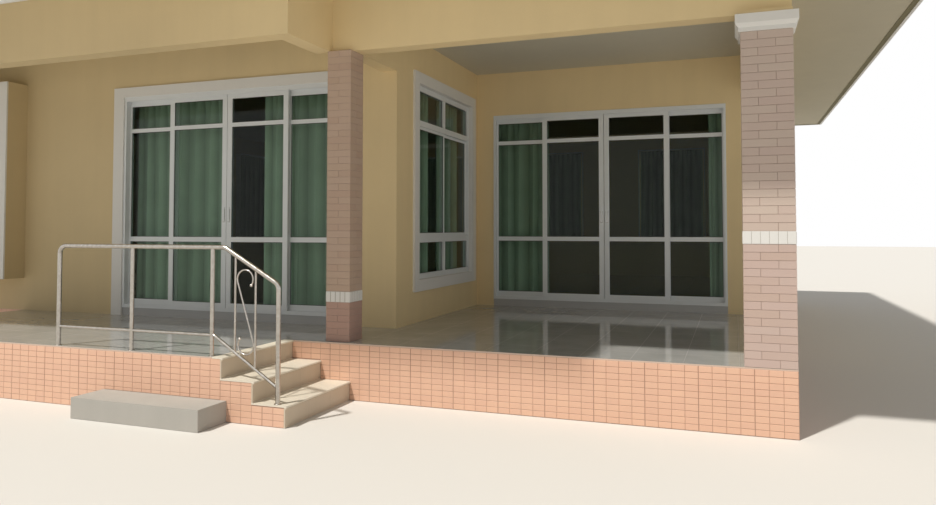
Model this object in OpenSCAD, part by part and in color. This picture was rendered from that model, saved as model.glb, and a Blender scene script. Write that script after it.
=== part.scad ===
// Single-storey bungalow with hipped roof, projecting wing, raised corner terrace and brick columns

/* [Levels] */
// Height of the terrace and of the floor inside, above the ground
floor_h = 500; // [450:10:600]
// Height of the ceilings above the ground
ceiling_z = 3600; // [3550:10:3700]
// Height of the eave soffits above the ground
soffit_z = 3800; // [3740:10:3900]
// Underside of the beams above the ground
beam_z = 3150; // [3100:10:3200]
// Number of risers from the ground up to the landing
risers = 3; // [3:1:4]

/* [Plan] */
// Width of the house over its walls
house_w = 11200; // [11100:10:11800]
// Depth from the front edge of the plinth to the rear wall
house_d = 10700; // [10600:20:11000]
// Depth of the terrace from the plinth edge to its back wall
terrace_d = 3540; // [3500:10:3700]
// Clear width of the terrace from the wing's side wall to the right corner
terrace_w = 3685; // [3680:5:3720]
// Depth of the porch from the plinth edge back to the wing's front wall
porch_d = 1020; // [980:10:1060]
// Thickness of the rendered brick walls
wall_t = 120; // [100:10:150]
// Distance of the wing's front beam before the plinth edge
wing_out = 620; // [560:10:680]
// Thickness of the beams
beam_t = 170; // [140:10:200]

/* [Columns] */
// Side of the square right column
column_r = 364; // [340:4:400]
// Side of the square left column
column_l = 240; // [220:5:260]
// Distance of the capital's face before the column's face
capital_out = 38; // [30:1:60]
// Height of the white band of soldier bricks
band_h = 95; // [80:1:110]

/* [Terrace and steps] */
// Depth of the landing and the steps before the plinth edge
landing_out = 990; // [900:10:1100]
// Depth of a tread
tread_d = 296; // [280:2:310]
// Thickness of the floor tiles
tile_t = 12; // [10:1:20]

/* [Sliding doors] */
// Width over the frame of each four-leaf door
door_w = 2940; // [2900:10:2960]
// Height of the curb under the doors
curb_h = 90; // [60:5:120]
// Top of the terrace door's frame above the ground
terrace_door_top = 3030; // [3000:5:3060]
// Top of the porch door's frame above the ground
porch_door_top = 3085; // [3060:5:3100]
// Width of a leaf's stile
stile_w = 62; // [50:1:70]
// Clear gap around a sliding leaf
leaf_gap = 7; // [6:1:9]

/* [Windows] */
// Width of the opening of the window beside the terrace
side_window_w = 1727; // [1650:1:1750]
// Width of the white surround of the window
trim_w = 125; // [100:5:140]
// Width of the bay window over its cheeks
bay_w = 1900; // [1800:10:2000]
// Depth of the bay window before the wall
bay_out = 270; // [240:5:300]
// Width of the windows in the other walls
plain_w = 1240; // [1100:10:1300]

/* [Roof] */
// Slope of all roof faces in degrees
roof_slope = 30; // [27:1:33]
// Overhang of the side eaves beyond the walls
eave_side = 1370; // [1200:5:1450]
// Overhang of the eave before the front beam
eave_front = 1145; // [1000:5:1300]
// Overhang of the rear eave beyond the wall
eave_rear = 1150; // [900:10:1300]
// Height of the fascia boards
fascia_h = 210; // [180:10:230]
// Upright thickness of the tiled roof
roof_t = 120; // [100:10:140]

/* [Handrail] */
// Diameter of the top rail and the posts
rail_d = 38; // [32:1:42]
// Height of the level top rail above the landing
rail_h = 870; // [840:10:900]

/* [Hidden] */
$fn = 40;
eps = 0.01;
riser_h = floor_h / risers;
side_x = -terrace_w;
left_x = -house_w;
wing_y = -wing_out;
wing_x1 = side_x - column_l + 15;
beam_y0 = 110;
beam_y1 = beam_y0 + beam_t;
column_l_y = 50;
landing_x = side_x - 560;
landing_x0 = left_x + 2340;
landing_top = floor_h - tile_t;
// width of the tile along the landing's edge and its overhang at the cheek
edge_tile = 90;
cheek_lip = 4;
terrace_door_x = -1980;
porch_door_x = -5798;
door_z = floor_h + curb_h;
bay_x1 = left_x + 2340;
bay_x0 = bay_x1 - bay_w;
bay_y = porch_d - bay_out;
bay_in = bay_w - 2 * wall_t;
bay_z0 = 900;
bay_z1 = 3340;
// half height of the side window's opening and its middle
side_window_y = 2421;
side_window_z0 = 960;
side_window_z1 = 3120;
plain_z0 = 1400;
plain_z1 = 3060;
// eave lines
ex0 = left_x - eave_side;
ex1 = eave_side;
ey0 = beam_y0 - eave_front;
ey1 = house_d + eave_rear;
gx1 = wing_x1 + eave_side;
gy0 = wing_y - eave_front;
board_t = 32;
fascia_z0 = soffit_z - 10;
roof_z = fascia_z0 + fascia_h;
soffit_t = 12;
wall_top = soffit_z + soffit_t;
drip = 45;
edge_t = 50;
rise = tan(roof_slope);
// outline of the tiles
rx0 = ex0 - drip;
rx1 = ex1 + drip;
ry0 = ey0 - drip;
ry1 = ey1 + drip;
qx1 = gx1 + drip;
qy0 = gy0 - drip;
tile_z = roof_z + edge_t;
mid_y = (ry0 + ry1) / 2;
hip_r = (ry1 - ry0) / 2;
wing_r = (qx1 - rx0) / 2;
wing_mid = (qx1 + rx0) / 2;
far = 900;
plain_rear_x = [-1700, -4300, -6900, -9500];
plain_right_y = [5000, 7200, 9400];
plain_left_y = [3000, 5900, 8800];

// Box between two corners
module span(a, b) {
    translate(a) cube([b[0] - a[0], b[1] - a[1], b[2] - a[2]]);
}

// The whole house is moved so that the middle of its outline is at the origin
module place() {
    translate([-(rx0 + rx1) / 2, -(qy0 + ry1) / 2, 0]) children();
}

// Floor of the rooms
module house_floor() {
    color("silver") place() difference() {
        span([left_x, porch_d, 0], [0, house_d, floor_h]);
        span([side_x, -eps, -1], [1, terrace_d, floor_h + 1]);
    }
}

// Raised base of the terrace, tiled on its face
module terrace_base() {
    color("salmon") place() difference() {
        span([landing_x, 0, 0], [0, terrace_d, landing_top]);
        span([landing_x - 1, porch_d, -1], [side_x, terrace_d + 1, floor_h]);
    }
}

// Raised base of the landing before the porch door
module landing_base() {
    color("salmon") place() union() {
        span([landing_x0, -landing_out, 0], [landing_x - tile_t, eps, landing_top]);
        span([landing_x0, 0, 0], [landing_x, porch_d, landing_top]);
    }
}

// Finished floor over terrace and landing
module terrace_tiles() {
    color("gainsboro") place() union() {
        span([side_x, 0, landing_top], [0, terrace_d, floor_h]);
        span([landing_x0, 0, landing_top], [side_x + eps, porch_d, floor_h]);
        span([landing_x0, -landing_out, landing_top], [landing_x - edge_tile, eps, floor_h]);
    }
}

// Brick core of the flight, smaller than its tiles
module step_core() {
    color("salmon") place() rotate([90, 0, 0]) linear_extrude(landing_out) union() {
        for (i = [1 : risers - 1]) translate([landing_x - tile_t, 0])
            square([tread_d * i, floor_h - riser_h * i - tile_t]);
    }
}

// Section of one step's tread tile and the riser tile below it, from x = b to the nosing at x, top at z
module tread_profile(b, x, z) {
    union() {
        difference() {
            translate([b, z - riser_h]) square([x - b, riser_h]);
            translate([b - 1, z - riser_h - 1]) square([x - b - tile_t + 1, riser_h - tile_t + 1]);
        }
        translate([x, z - tile_t]) circle(r = tile_t);
    }
}

// Tiles on risers and treads, with a round nosing on each edge
module step_tiles() {
    color("wheat") place() rotate([90, 0, 0]) linear_extrude(landing_out + cheek_lip) union() {
        for (i = [0 : risers - 1])
            tread_profile(landing_x + (i == 0 ? -edge_tile : tread_d * (i - 1) - tile_t),
                          landing_x + tread_d * i, floor_h - riser_h * i);
    }
}

// Low concrete step before the landing
module front_block() {
    color("gray") place()
        span([landing_x - 1200, -landing_out - 330, 0], [landing_x + 50, -landing_out, riser_h]);
}

band_r_z = 1405;
band_l_z = 855;
capital_z0 = 2990;
capital_z1 = 3118;

// Right brick column, in two lengths around its white band
module column_right() {
    color("rosybrown") place() union() {
        span([-column_r, 0, floor_h], [0, column_r, band_r_z]);
        span([-column_r, 0, band_r_z + band_h], [0, column_r, capital_z0]);
    }
}

// Left brick column, in two lengths around its white band
module column_left() {
    color("rosybrown") place() translate([side_x - column_l, column_l_y, 0]) union() {
        span([0, 0, floor_h], [column_l, column_l, band_l_z]);
        span([0, 0, band_l_z + band_h], [column_l, column_l, beam_z]);
    }
}

neck = 16;
neck_h = 30;

// Square frustum around the right column, o0 wider than it at z0 and o1 wider at z1
module capital_taper(o0, o1, z0, z1) {
    intersection() {
        translate([0, column_r + far, 0]) rotate([90, 0, 0]) linear_extrude(column_r + 2 * far)
            polygon([[-column_r - o0, z0], [o0, z0], [o1, z1], [-column_r - o1, z1]]);
        translate([-column_r - far, 0, 0]) rotate([90, 0, 90]) linear_extrude(column_r + 2 * far)
            polygon([[-o0, z0], [column_r + o0, z0], [column_r + o1, z1], [-o1, z1]]);
    }
}

// White bands of both columns and the capital of the right one
module column_trim() {
    color("white") place() union() {
        span([-column_r, 0, band_r_z], [0, column_r, band_r_z + band_h]);
        translate([side_x - column_l, column_l_y, band_l_z]) cube([column_l, column_l, band_h]);
        span([-column_r - neck, -neck, capital_z0], [neck, column_r + neck, capital_z0 + neck_h]);
        capital_taper(neck, capital_out, capital_z0 + neck_h, capital_z0 + 2 * neck_h);
        span([-column_r - capital_out, -capital_out, capital_z0 + 2 * neck_h],
             [capital_out, column_r + capital_out, capital_z1]);
        span([-column_r, 0, capital_z1 - 1], [0, column_r, beam_z]);
    }
}

// Beam over the terrace edge
module front_beam() {
    color("beige") place() span([wing_x1, beam_y0, beam_z], [0, beam_y1, wall_top]);
}

// Beams that run back from the columns and from the wing's front beam
module side_beams() {
    color("beige") place() union() {
        span([side_x - beam_t, beam_y1, beam_z], [side_x, porch_d, wall_top]);
        span([-beam_t - 30, beam_y1, beam_z], [0, terrace_d, wall_top]);
        span([wing_x1 - beam_t, wing_y + beam_t, beam_z], [wing_x1, beam_y0, wall_top]);
        span([left_x, wing_y + beam_t, beam_z], [left_x + beam_t, porch_d, wall_top]);
    }
}

// Beam over the front of the porch
module wing_beam() {
    color("beige") place() span([left_x, wing_y, beam_z], [wing_x1, wing_y + beam_t, wall_top]);
}

// Section of a roof with eaves at a and b, with upright sides down by d
module slope_profile(a, b, d) {
    polygon([[a, -d], [b, -d], [b, 0], [(a + b) / 2, (b - a) / 2 * rise], [a, 0]]);
}

// Everything below the planes of the hipped roof and of the wing's hip end, lowered by t, down to depth d
module under_slopes(t, d) {
    up = wing_r + 600;
    back = mid_y - 100;
    translate([0, 0, tile_z - t]) intersection() {
        translate([0, ry1 + far, 0]) rotate([90, 0, 0])
            linear_extrude(ry1 - qy0 + 2 * far) slope_profile(rx0, rx1, d);
        union() {
            translate([rx0 - far, 0, 0]) rotate([90, 0, 90])
                linear_extrude(rx1 - rx0 + 2 * far) slope_profile(ry0, ry1, d);
            intersection() {
                translate([0, back - 50, 0]) rotate([90, 0, 0]) linear_extrude(back - 50 - qy0 + 2 * far)
                    polygon([[rx0 - far, -d], [qx1, -d], [qx1, 0],
                             [qx1 - up, up * rise], [rx0 - far, up * rise]]);
                translate([rx0 - 2 * far, 0, 0]) rotate([90, 0, 90]) linear_extrude(rx1 - rx0 + 4 * far)
                    polygon([[qy0, -d], [back, -d], [back, (back - qy0) * rise], [qy0, 0]]);
            }
        }
    }
}

// Row of openings in a wall that runs along X
module holes_x(list, y, w, z0, z1) {
    for (x = list) translate([x - w / 2, y - 1, z0]) cube([w, wall_t + 2, z1 - z0]);
}

// Left and right end walls with their windows
module end_walls() {
    color("beige") place() union() {
        difference() {
            span([-wall_t, terrace_d, floor_h], [0, house_d - wall_t, wall_top]);
            for (y = plain_right_y) translate([-wall_t - 1, y - plain_w / 2, plain_z0])
                cube([wall_t + 2, plain_w, plain_z1 - plain_z0]);
        }
        difference() {
            span([left_x, porch_d, floor_h], [left_x + wall_t, house_d - wall_t, wall_top]);
            for (y = plain_left_y) translate([left_x - 1, y - plain_w / 2, plain_z0])
                cube([wall_t + 2, plain_w, plain_z1 - plain_z0]);
        }
    }
}

// Rear wall with its windows
module rear_wall() {
    color("beige") place() difference() {
        span([left_x, house_d - wall_t, floor_h], [0, house_d, wall_top]);
        holes_x(plain_rear_x, house_d - wall_t, plain_w, plain_z0, plain_z1);
    }
}

// Wall beside the terrace door
module terrace_wall_piers() {
    color("beige") place() union() {
        span([side_x - wall_t, terrace_d, floor_h],
             [terrace_door_x - door_w / 2, terrace_d + wall_t, wall_top]);
        span([terrace_door_x + door_w / 2, terrace_d, floor_h], [-wall_t, terrace_d + wall_t, wall_top]);
    }
}

// Tiled curbs under both doors
module door_curbs() {
    color("gray") place() union() {
        span([terrace_door_x - door_w / 2, terrace_d, floor_h],
             [terrace_door_x + door_w / 2, terrace_d + wall_t, door_z]);
        span([porch_door_x - door_w / 2, porch_d, floor_h],
             [porch_door_x + door_w / 2, porch_d + wall_t, door_z]);
    }
}

// Wall of the wing beside its window
module side_wall_piers() {
    color("beige") place() union() {
        span([side_x - wall_t, porch_d, floor_h],
             [side_x, side_window_y - side_window_w / 2, wall_top]);
        span([side_x - wall_t, side_window_y + side_window_w / 2, floor_h], [side_x, terrace_d, wall_top]);
    }
}

// Front wall of the wing beside its door and its bay
module porch_wall_piers() {
    color("beige") place() union() {
        span([porch_door_x + door_w / 2, porch_d, floor_h], [side_x - wall_t, porch_d + wall_t, wall_top]);
        span([bay_x1 - wall_t, porch_d, floor_h], [porch_door_x - door_w / 2, porch_d + wall_t, wall_top]);
        span([left_x + wall_t, porch_d, floor_h], [bay_x0 + wall_t, porch_d + wall_t, wall_top]);
    }
}

// Walls over the doors and over and under the windows of the wing
module wall_bands() {
    color("beige") place() union() {
        span([terrace_door_x - door_w / 2, terrace_d, terrace_door_top],
             [terrace_door_x + door_w / 2, terrace_d + wall_t, wall_top]);
        span([side_x - wall_t, side_window_y - side_window_w / 2, floor_h],
             [side_x, side_window_y + side_window_w / 2, side_window_z0]);
        span([side_x - wall_t, side_window_y - side_window_w / 2, side_window_z1],
             [side_x, side_window_y + side_window_w / 2, wall_top]);
        span([porch_door_x - door_w / 2, porch_d, porch_door_top],
             [porch_door_x + door_w / 2, porch_d + wall_t, wall_top]);
        span([bay_x0 + wall_t, porch_d, floor_h], [bay_x1 - wall_t, porch_d + wall_t, bay_z0 + wall_t]);
        span([bay_x0 + wall_t, porch_d, bay_z1 - wall_t], [bay_x1 - wall_t, porch_d + wall_t, wall_top]);
    }
}

// Box of the bay window: two cheeks, sill slab and top slab
module bay_box() {
    color("beige") place() difference() {
        span([bay_x0, bay_y, bay_z0], [bay_x1, porch_d, bay_z1]);
        span([bay_x0 + wall_t, bay_y - 1, bay_z0 + wall_t],
             [bay_x1 - wall_t, porch_d + 1, bay_z1 - wall_t]);
    }
}

// Flat ring of width w around an opening l wide from z0 to z1, extruded over depth d
module ring(l, z0, z1, w, d) {
    translate([0, d, 0]) rotate([90, 0, 0]) linear_extrude(d) difference() {
        translate([-l / 2 - w, z0 - w]) square([l + 2 * w, z1 - z0 + 2 * w]);
        translate([-l / 2, z0]) square([l, z1 - z0]);
    }
}

trim_door = 150;
trim_head = 115;

// White rendered surrounds of windows and of the porch door
module opening_trims() {
    color("white") place() union() {
        translate([side_x, side_window_y, 0]) rotate([0, 0, 90]) translate([0, -25, 0])
            ring(side_window_w, side_window_z0, side_window_z1, trim_w, 25);
        translate([porch_door_x, porch_d - 25, 0]) rotate([90, 0, 0]) translate([0, 0, -25])
            linear_extrude(25) difference() {
                translate([-door_w / 2 - trim_door, floor_h])
                    square([door_w + 2 * trim_door, porch_door_top + trim_head - floor_h]);
                translate([-door_w / 2, floor_h - 1]) square([door_w, porch_door_top - floor_h + 1]);
            }
        translate([(bay_x0 + bay_x1) / 2, bay_y - 20, 0])
            ring(bay_in, bay_z0 + wall_t, bay_z1 - wall_t, wall_t, 20);
        for (x = plain_rear_x) translate([x, house_d, 0]) ring(plain_w, plain_z0, plain_z1, 90, 20);
        for (y = plain_right_y) translate([0, y, 0]) rotate([0, 0, -90])
            ring(plain_w, plain_z0, plain_z1, 90, 20);
        for (y = plain_left_y) translate([left_x, y, 0]) rotate([0, 0, 90])
            ring(plain_w, plain_z0, plain_z1, 90, 20);
    }
}

jamb_w = 30;
head_h = 50;
sill_h = 40;
groove = 15;
leaf_t = 32;
leaf_w = door_w / 2 - 670;
lip_t = 10;
track_y = leaf_gap + leaf_t / 2;
fixed_y = track_y + leaf_t + leaf_gap + 12;

// Leaf with its three panes cut out, centred on its thickness, with a first stile of width q
module leaf(w, z0, z1, rail, bar, q) {
    g = w - q - stile_w;
    translate([0, leaf_t / 2, 0]) rotate([90, 0, 0]) linear_extrude(leaf_t) difference() {
        translate([0, z0]) square([w, z1 - z0]);
        translate([q, z0 + stile_w]) square([g, rail[0] - z0 - stile_w]);
        translate([q, rail[1]]) square([g, bar[0] - rail[1]]);
        translate([q, bar[1]]) square([g, z1 - stile_w + 4 - bar[1]]);
    }
}

// Sheet of glass that fills a leaf's panes behind its bars
module leaf_glass(w, z0, z1, rail, bar, q) {
    g = 0.5;
    for (p = [[z0 + stile_w, rail[0]], [rail[1], bar[0]], [bar[1], z1 - stile_w + 4]])
        span([q + g, -3, p[0] + g], [w - stile_w - g, 3, p[1] - g]);
}

t_outer = 20;
p_outer = 20;
t_rail = [1360, 1415];
t_bar = [2640, 2690];
p_rail = [1370, 1425];
p_bar = [2666, 2712];

// Outer frame of a four-leaf door with its two fixed leaves, whose outer stiles show by q
module door_frame(top, rail, bar, q) {
    h = top - door_z;
    union() {
        difference() {
            translate([-door_w / 2, -lip_t, door_z]) cube([door_w, wall_t, h]);
            translate([-door_w / 2 + jamb_w, -lip_t - 1, door_z + sill_h])
                cube([door_w - 2 * jamb_w, wall_t + 2, h - sill_h - head_h]);
            translate([-door_w / 2 + jamb_w, 0, door_z + sill_h - groove])
                cube([door_w - 2 * jamb_w, leaf_t + 2 * leaf_gap, h - sill_h - head_h + 2 * groove]);
        }
        for (s = [0, 1]) mirror([s, 0, 0]) translate([-door_w / 2 + jamb_w - 1, fixed_y, 0])
            leaf(door_w / 2 - jamb_w + 1 - 745, door_z + sill_h - 1, top - head_h + 1, rail, bar, q);
    }
}

// One sliding leaf with its pull, s = 0 for the left one
module sliding_leaf(s, top, rail, bar) {
    z0 = door_z + sill_h - groove + leaf_gap;
    z1 = top - head_h + groove - leaf_gap;
    mirror([s, 0, 0]) translate([-leaf_w - 3, track_y, 0]) union() {
        leaf(leaf_w, z0, z1, rail, bar, stile_w);
        translate([leaf_w - stile_w / 2 - 9, -leaf_t / 2 - 10, 1600]) cube([18, 11, 160]);
    }
}

module sliding_glass(s, top, rail, bar) {
    z0 = door_z + sill_h - groove + leaf_gap;
    z1 = top - head_h + groove - leaf_gap;
    mirror([s, 0, 0]) translate([-leaf_w - 3, track_y, 0]) leaf_glass(leaf_w, z0, z1, rail, bar, stile_w);
}

module at_terrace_door() {
    place() translate([terrace_door_x, terrace_d, 0]) children();
}

module at_porch_door() {
    place() translate([porch_door_x, porch_d, 0]) children();
}

module terrace_door_frame() {
    color("whitesmoke") at_terrace_door() door_frame(terrace_door_top, t_rail, t_bar, t_outer);
}

module terrace_leaf_left() {
    color("whitesmoke") at_terrace_door() sliding_leaf(0, terrace_door_top, t_rail, t_bar);
}

module terrace_glass_left() {
    color("teal") at_terrace_door() sliding_glass(0, terrace_door_top, t_rail, t_bar);
}

module terrace_leaf_right() {
    color("whitesmoke") at_terrace_door() sliding_leaf(1, terrace_door_top, t_rail, t_bar);
}

module terrace_glass_right() {
    color("teal") at_terrace_door() sliding_glass(1, terrace_door_top, t_rail, t_bar);
}

module porch_door_frame() {
    color("whitesmoke") at_porch_door() door_frame(porch_door_top, p_rail, p_bar, p_outer);
}

module porch_leaf_left() {
    color("whitesmoke") at_porch_door() sliding_leaf(0, porch_door_top, p_rail, p_bar);
}

module porch_glass_left() {
    color("teal") at_porch_door() sliding_glass(0, porch_door_top, p_rail, p_bar);
}

module porch_leaf_right() {
    color("whitesmoke") at_porch_door() sliding_leaf(1, porch_door_top, p_rail, p_bar);
}

module porch_glass_right() {
    color("teal") at_porch_door() sliding_glass(1, porch_door_top, p_rail, p_bar);
}

sash_w = 34;
sash_t = 22;

// Panes of a two-light window of width w with frames f wide, as a list of boxes in the window's face
function panes(w, z0, z1, rail, bar, f) =
    [for (s = [-1, 1], p = [[z0 + f, rail[0]], [rail[1], bar[0]], [bar[1], z1 - f]])
        if (p[1] > p[0]) [s * (w - f) / 4 - (w / 2 - f * 1.5) / 2, p[0], w / 2 - f * 1.5, p[1] - p[0]]];

// Fixed frame of a two-light window, 60 deep, open where its sashes slide
module window_frame(w, z0, z1, rail, bar, f) {
    translate([0, 60, 0]) rotate([90, 0, 0]) linear_extrude(60) difference() {
        translate([-w / 2, z0]) square([w, z1 - z0]);
        for (p = panes(w, z0, z1, rail, bar, f)) if (p[1] != rail[1])
            translate([p[0], p[1]]) square([p[2], p[3]]);
        translate([(f - w) / 2, rail[1] - sash_w]) square([w - f, bar[0] - rail[1] + 2 * sash_w]);
    }
}

// Two sliding sashes, shut, each in its own track
module window_sashes(w, rail, bar, f) {
    for (s = [0, 1]) translate([0, s == 0 ? 30 : 58, 0]) rotate([90, 0, 0])
        linear_extrude(sash_t) difference() {
            translate([s == 0 ? (f - w) / 2 + 1 : -sash_w / 2, rail[1] - sash_w])
                square([(w - f + sash_w) / 2 - 1, bar[0] - rail[1] + 2 * sash_w - 2]);
            translate([s == 0 ? f - w / 2 : sash_w / 2, rail[1]])
                square([(w - sash_w) / 2 - f, bar[0] - rail[1]]);
        }
}

// Glass of the fixed lights and of both sashes
module window_glass(w, z0, z1, rail, bar, f) {
    g = 0.5;
    for (p = panes(w, z0, z1, rail, bar, f)) if (p[1] != rail[1])
        translate([p[0] + g, 27, p[1] + g]) cube([p[2] - 2 * g, 6, p[3] - 2 * g]);
    for (s = [0, 1]) translate([s == 0 ? f - w / 2 + g : sash_w / 2 + g, s == 0 ? 16 : 44, rail[1] + g])
        cube([(w - sash_w) / 2 - f - 2 * g, 6, bar[0] - rail[1] - 2 * g]);
}

s_rail = [1364, 1470];
s_bar = [2632, 2730];
q_rail = [1450, 1484];
q_bar = [2632, 2710];
b_rail = [1364, 1470];
b_bar = [2766, 2856];

module at_side_window() {
    place() translate([side_x - 30, side_window_y, 0]) rotate([0, 0, 90]) children();
}

module at_bay_window() {
    place() translate([(bay_x0 + bay_x1) / 2, bay_y + 20, 0]) children();
}

module at_plain_windows() {
    place() union() {
        for (x = plain_rear_x) translate([x, house_d - 30, 0]) rotate([0, 0, 180]) children();
        for (y = plain_right_y) translate([-30, y, 0]) rotate([0, 0, 90]) children();
        for (y = plain_left_y) translate([left_x + 30, y, 0]) rotate([0, 0, -90]) children();
    }
}

// Fixed frames of all windows
module window_frames() {
    color("whitesmoke") union() {
        at_side_window() window_frame(side_window_w, side_window_z0, side_window_z1, s_rail, s_bar, 60);
        at_bay_window() window_frame(bay_in, bay_z0 + wall_t, bay_z1 - wall_t, b_rail, b_bar, 60);
        at_plain_windows() window_frame(plain_w, plain_z0, plain_z1, q_rail, q_bar, 50);
    }
}

// Sashes of all windows
module sash_pairs() {
    color("white") union() {
        at_side_window() window_sashes(side_window_w, s_rail, s_bar, 60);
        at_bay_window() window_sashes(bay_in, b_rail, b_bar, 60);
        at_plain_windows() window_sashes(plain_w, q_rail, q_bar, 50);
    }
}

// Glass of the two fixed leaves of a door
module fixed_leaf_glass(top, rail, bar, q) {
    w = door_w / 2 - jamb_w - 744;
    for (s = [0, 1]) mirror([s, 0, 0]) translate([-door_w / 2 + jamb_w - 1, fixed_y, 0])
        leaf_glass(w, door_z + sill_h - 1, top - head_h + 1, rail, bar, q);
}

// Sheets of glass in all windows and in the fixed leaves of the doors
module fixed_glass() {
    color("teal") union() {
        at_side_window() window_glass(side_window_w, side_window_z0, side_window_z1, s_rail, s_bar, 60);
        at_bay_window() window_glass(bay_in, bay_z0 + wall_t, bay_z1 - wall_t, b_rail, b_bar, 60);
        at_plain_windows() window_glass(plain_w, plain_z0, plain_z1, q_rail, q_bar, 50);
        at_terrace_door() fixed_leaf_glass(terrace_door_top, t_rail, t_bar, t_outer);
        at_porch_door() fixed_leaf_glass(porch_door_top, p_rail, p_bar, p_outer);
    }
}

// Drops of cloth behind the front doors and windows
module curtains() {
    color("darkseagreen") union() {
        at_terrace_door() for (p = [[-1500, -760], [1250, 1500]])
            span([p[0], 230, floor_h + 20], [p[1], 290, 3150]);
        at_porch_door() for (p = [[-1500, -190], [330, 1500]])
            span([p[0], 230, floor_h + 20], [p[1], 290, 3200]);
        at_side_window() for (p = [[-840, -130], [110, 840]])
            span([p[0], 150, 900], [p[1], 210, 3200]);
        at_bay_window() for (p = [[-800, -250], [250, 800]])
            span([p[0], 120, 1040], [p[1], 170, 3200]);
        at_plain_windows() span([-660, 140, 1250], [660, 190, 3200]);
    }
}

rail_y = -landing_out + 30;
post_x0 = -3743;
post_x1 = -4366;
bend_x = -4250;
rail_x0 = -6000;
low_d = 25;
low_z0 = 290;
low_z1 = 668;
low_x1 = post_x1 + 20;

// Round bar from a to b
module bar(a, b, d) {
    v = b - a;
    l = norm(v);
    translate(a) rotate([0, acos(v[2] / l), atan2(v[1], v[0])]) cylinder(h = l, d = d);
}

// Turning angle at b of the way from a over b to c, and the length that a bend takes from each leg
function turn(a, b, c) = acos(max(-1, min(1, (b - a) * (c - b) / norm(b - a) / norm(c - b))));
function bend_leg(a, b, c, r) = r * tan(turn(a, b, c) / 2);

// One bend of radius r in the upright plane along X, from leg ab into leg bc
module elbow(a, b, c, r, d) {
    u = (b - a) / norm(b - a);
    v = (c - b) / norm(c - b);
    t = turn(a, b, c);
    m = b + (v - u) / norm(v - u) * r / cos(t / 2);
    p = b - u * bend_leg(a, b, c, r) - m;
    way = u[0] * v[2] - u[2] * v[0];
    translate(m) rotate([90, 0, 0]) rotate([0, 0, atan2(p[2], p[0]) - (way < 0 ? t : 0)])
        rotate_extrude(angle = t) translate([r, 0]) circle(d = d);
}

// Bent round bar through a list of points in the upright plane along X, with bends of radius r.
// The legs go 1 into each bend, and the bend is 0.1 thinner, so the joined faces never coincide.
module rod(list, d, r) {
    n = len(list) - 1;
    for (i = [0 : n - 1]) {
        a = list[i];
        b = list[i + 1];
        u = (b - a) / norm(b - a);
        s0 = i == 0 ? 0 : bend_leg(list[i - 1], a, b, r);
        s1 = i == n - 1 ? 0 : bend_leg(a, b, list[i + 2], r);
        bar(a + u * (s0 - (i == 0 ? 0 : 1)), b - u * (s1 - (i == n - 1 ? 0 : 1)), d);
    }
    for (i = [1 : n - 1]) elbow(list[i - 1], list[i], list[i + 1], r, d - 0.1);
}

// Stainless rails and posts on the landing's front edge
module handrail() {
    zt = floor_h + rail_h;
    color("silver") place() translate([0, rail_y, 0]) union() {
        rod([[post_x0, 0, riser_h], [post_x0, 0, 1085], [bend_x, 0, zt],
             [rail_x0, 0, zt], [rail_x0, 0, floor_h]], rail_d, 70);
        for (x = [post_x1, post_x1 - 820]) bar([x, 0, floor_h], [x, 0, zt], rail_d * 0.9);
        rod([[post_x0, 0, low_z0], [low_x1, 0, low_z1], [rail_x0, 0, low_z1]], low_d, 40);
    }
}

baluster_x = [-4145, -3954];
baluster_d = 17;
scroll_d = 13;
scroll_r = 74;
curl_angle = 235;
weld_d = 7;
scroll_top = [-4053, 1120];
scroll_low = [-4042, 604];

// Height of the sloping top rail's and of the low rail's middle at x
function rail_z(x) = 1085 + (post_x0 - x) / (post_x0 - bend_x) * (floor_h + rail_h - 1085);
function low_rail_z(x) = low_z0 + (post_x0 - x) / (post_x0 - low_x1) * (low_z1 - low_z0);

// One curl in the upright plane: an arc about c that ends at angle t, with a ball at its free end
module curl(c, t) {
    rotate([90, 0, 0]) translate(c) rotate([0, 0, t - curl_angle]) union() {
        rotate_extrude(angle = curl_angle) translate([scroll_r, 0]) circle(d = scroll_d);
        translate([scroll_r, -3, 0]) sphere(d = 2 * scroll_d);
    }
}

// Two balusters and the S-shaped scroll between them: two curls and the straight rod tangent to both
module handrail_scroll() {
    v = scroll_top - scroll_low;
    t = atan2(v[1], v[0]) + acos(-2 * scroll_r / norm(v));
    r = scroll_r * [cos(t), sin(t)];
    a = scroll_top + r;
    b = scroll_low - r;
    d = (b - a) / norm(b - a);
    color("silver") place() translate([0, rail_y, 0]) union() {
        curl(scroll_top, t);
        curl(scroll_low, t + 180);
        bar([a[0] - d[0], 0, a[1] - d[1]], [b[0] + d[0], 0, b[1] + d[1]], scroll_d - 0.1);
        bar([baluster_x[0], 0, scroll_top[1]], [scroll_top[0] - scroll_r, 0, scroll_top[1]], weld_d);
        bar([scroll_low[0] + scroll_r, 0, scroll_low[1]], [baluster_x[1], 0, scroll_low[1]], weld_d);
        difference() {
            for (x = baluster_x) bar([x, 0, low_rail_z(x)], [x, 0, rail_z(x)], baluster_d);
            bar([post_x0, 0, rail_z(post_x0)], [bend_x, 0, rail_z(bend_x)], rail_d + 0.4);
            bar([post_x0, 0, low_z0], [low_x1, 0, low_z1], low_d + 0.4);
        }
    }
}

lamp_x0 = -7296;
lamp_l = 1230;
lamp_z = soffit_z - 36;

// Batten of the tube lamp below the soffit
module lamp_body() {
    color("white") place()
        span([lamp_x0, wing_y - 30, lamp_z - 22], [lamp_x0 + lamp_l, wing_y, lamp_z + 22]);
}

// Moulded cover of the tube lamp
module lamp_diffuser() {
    color("aliceblue") place() translate([lamp_x0 + 12, wing_y - 30, lamp_z]) rotate([0, 90, 0])
        linear_extrude(lamp_l - 24) intersection() {
            circle(r = 32);
            translate([-40, -40]) square([80, 40]);
        }
}

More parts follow.
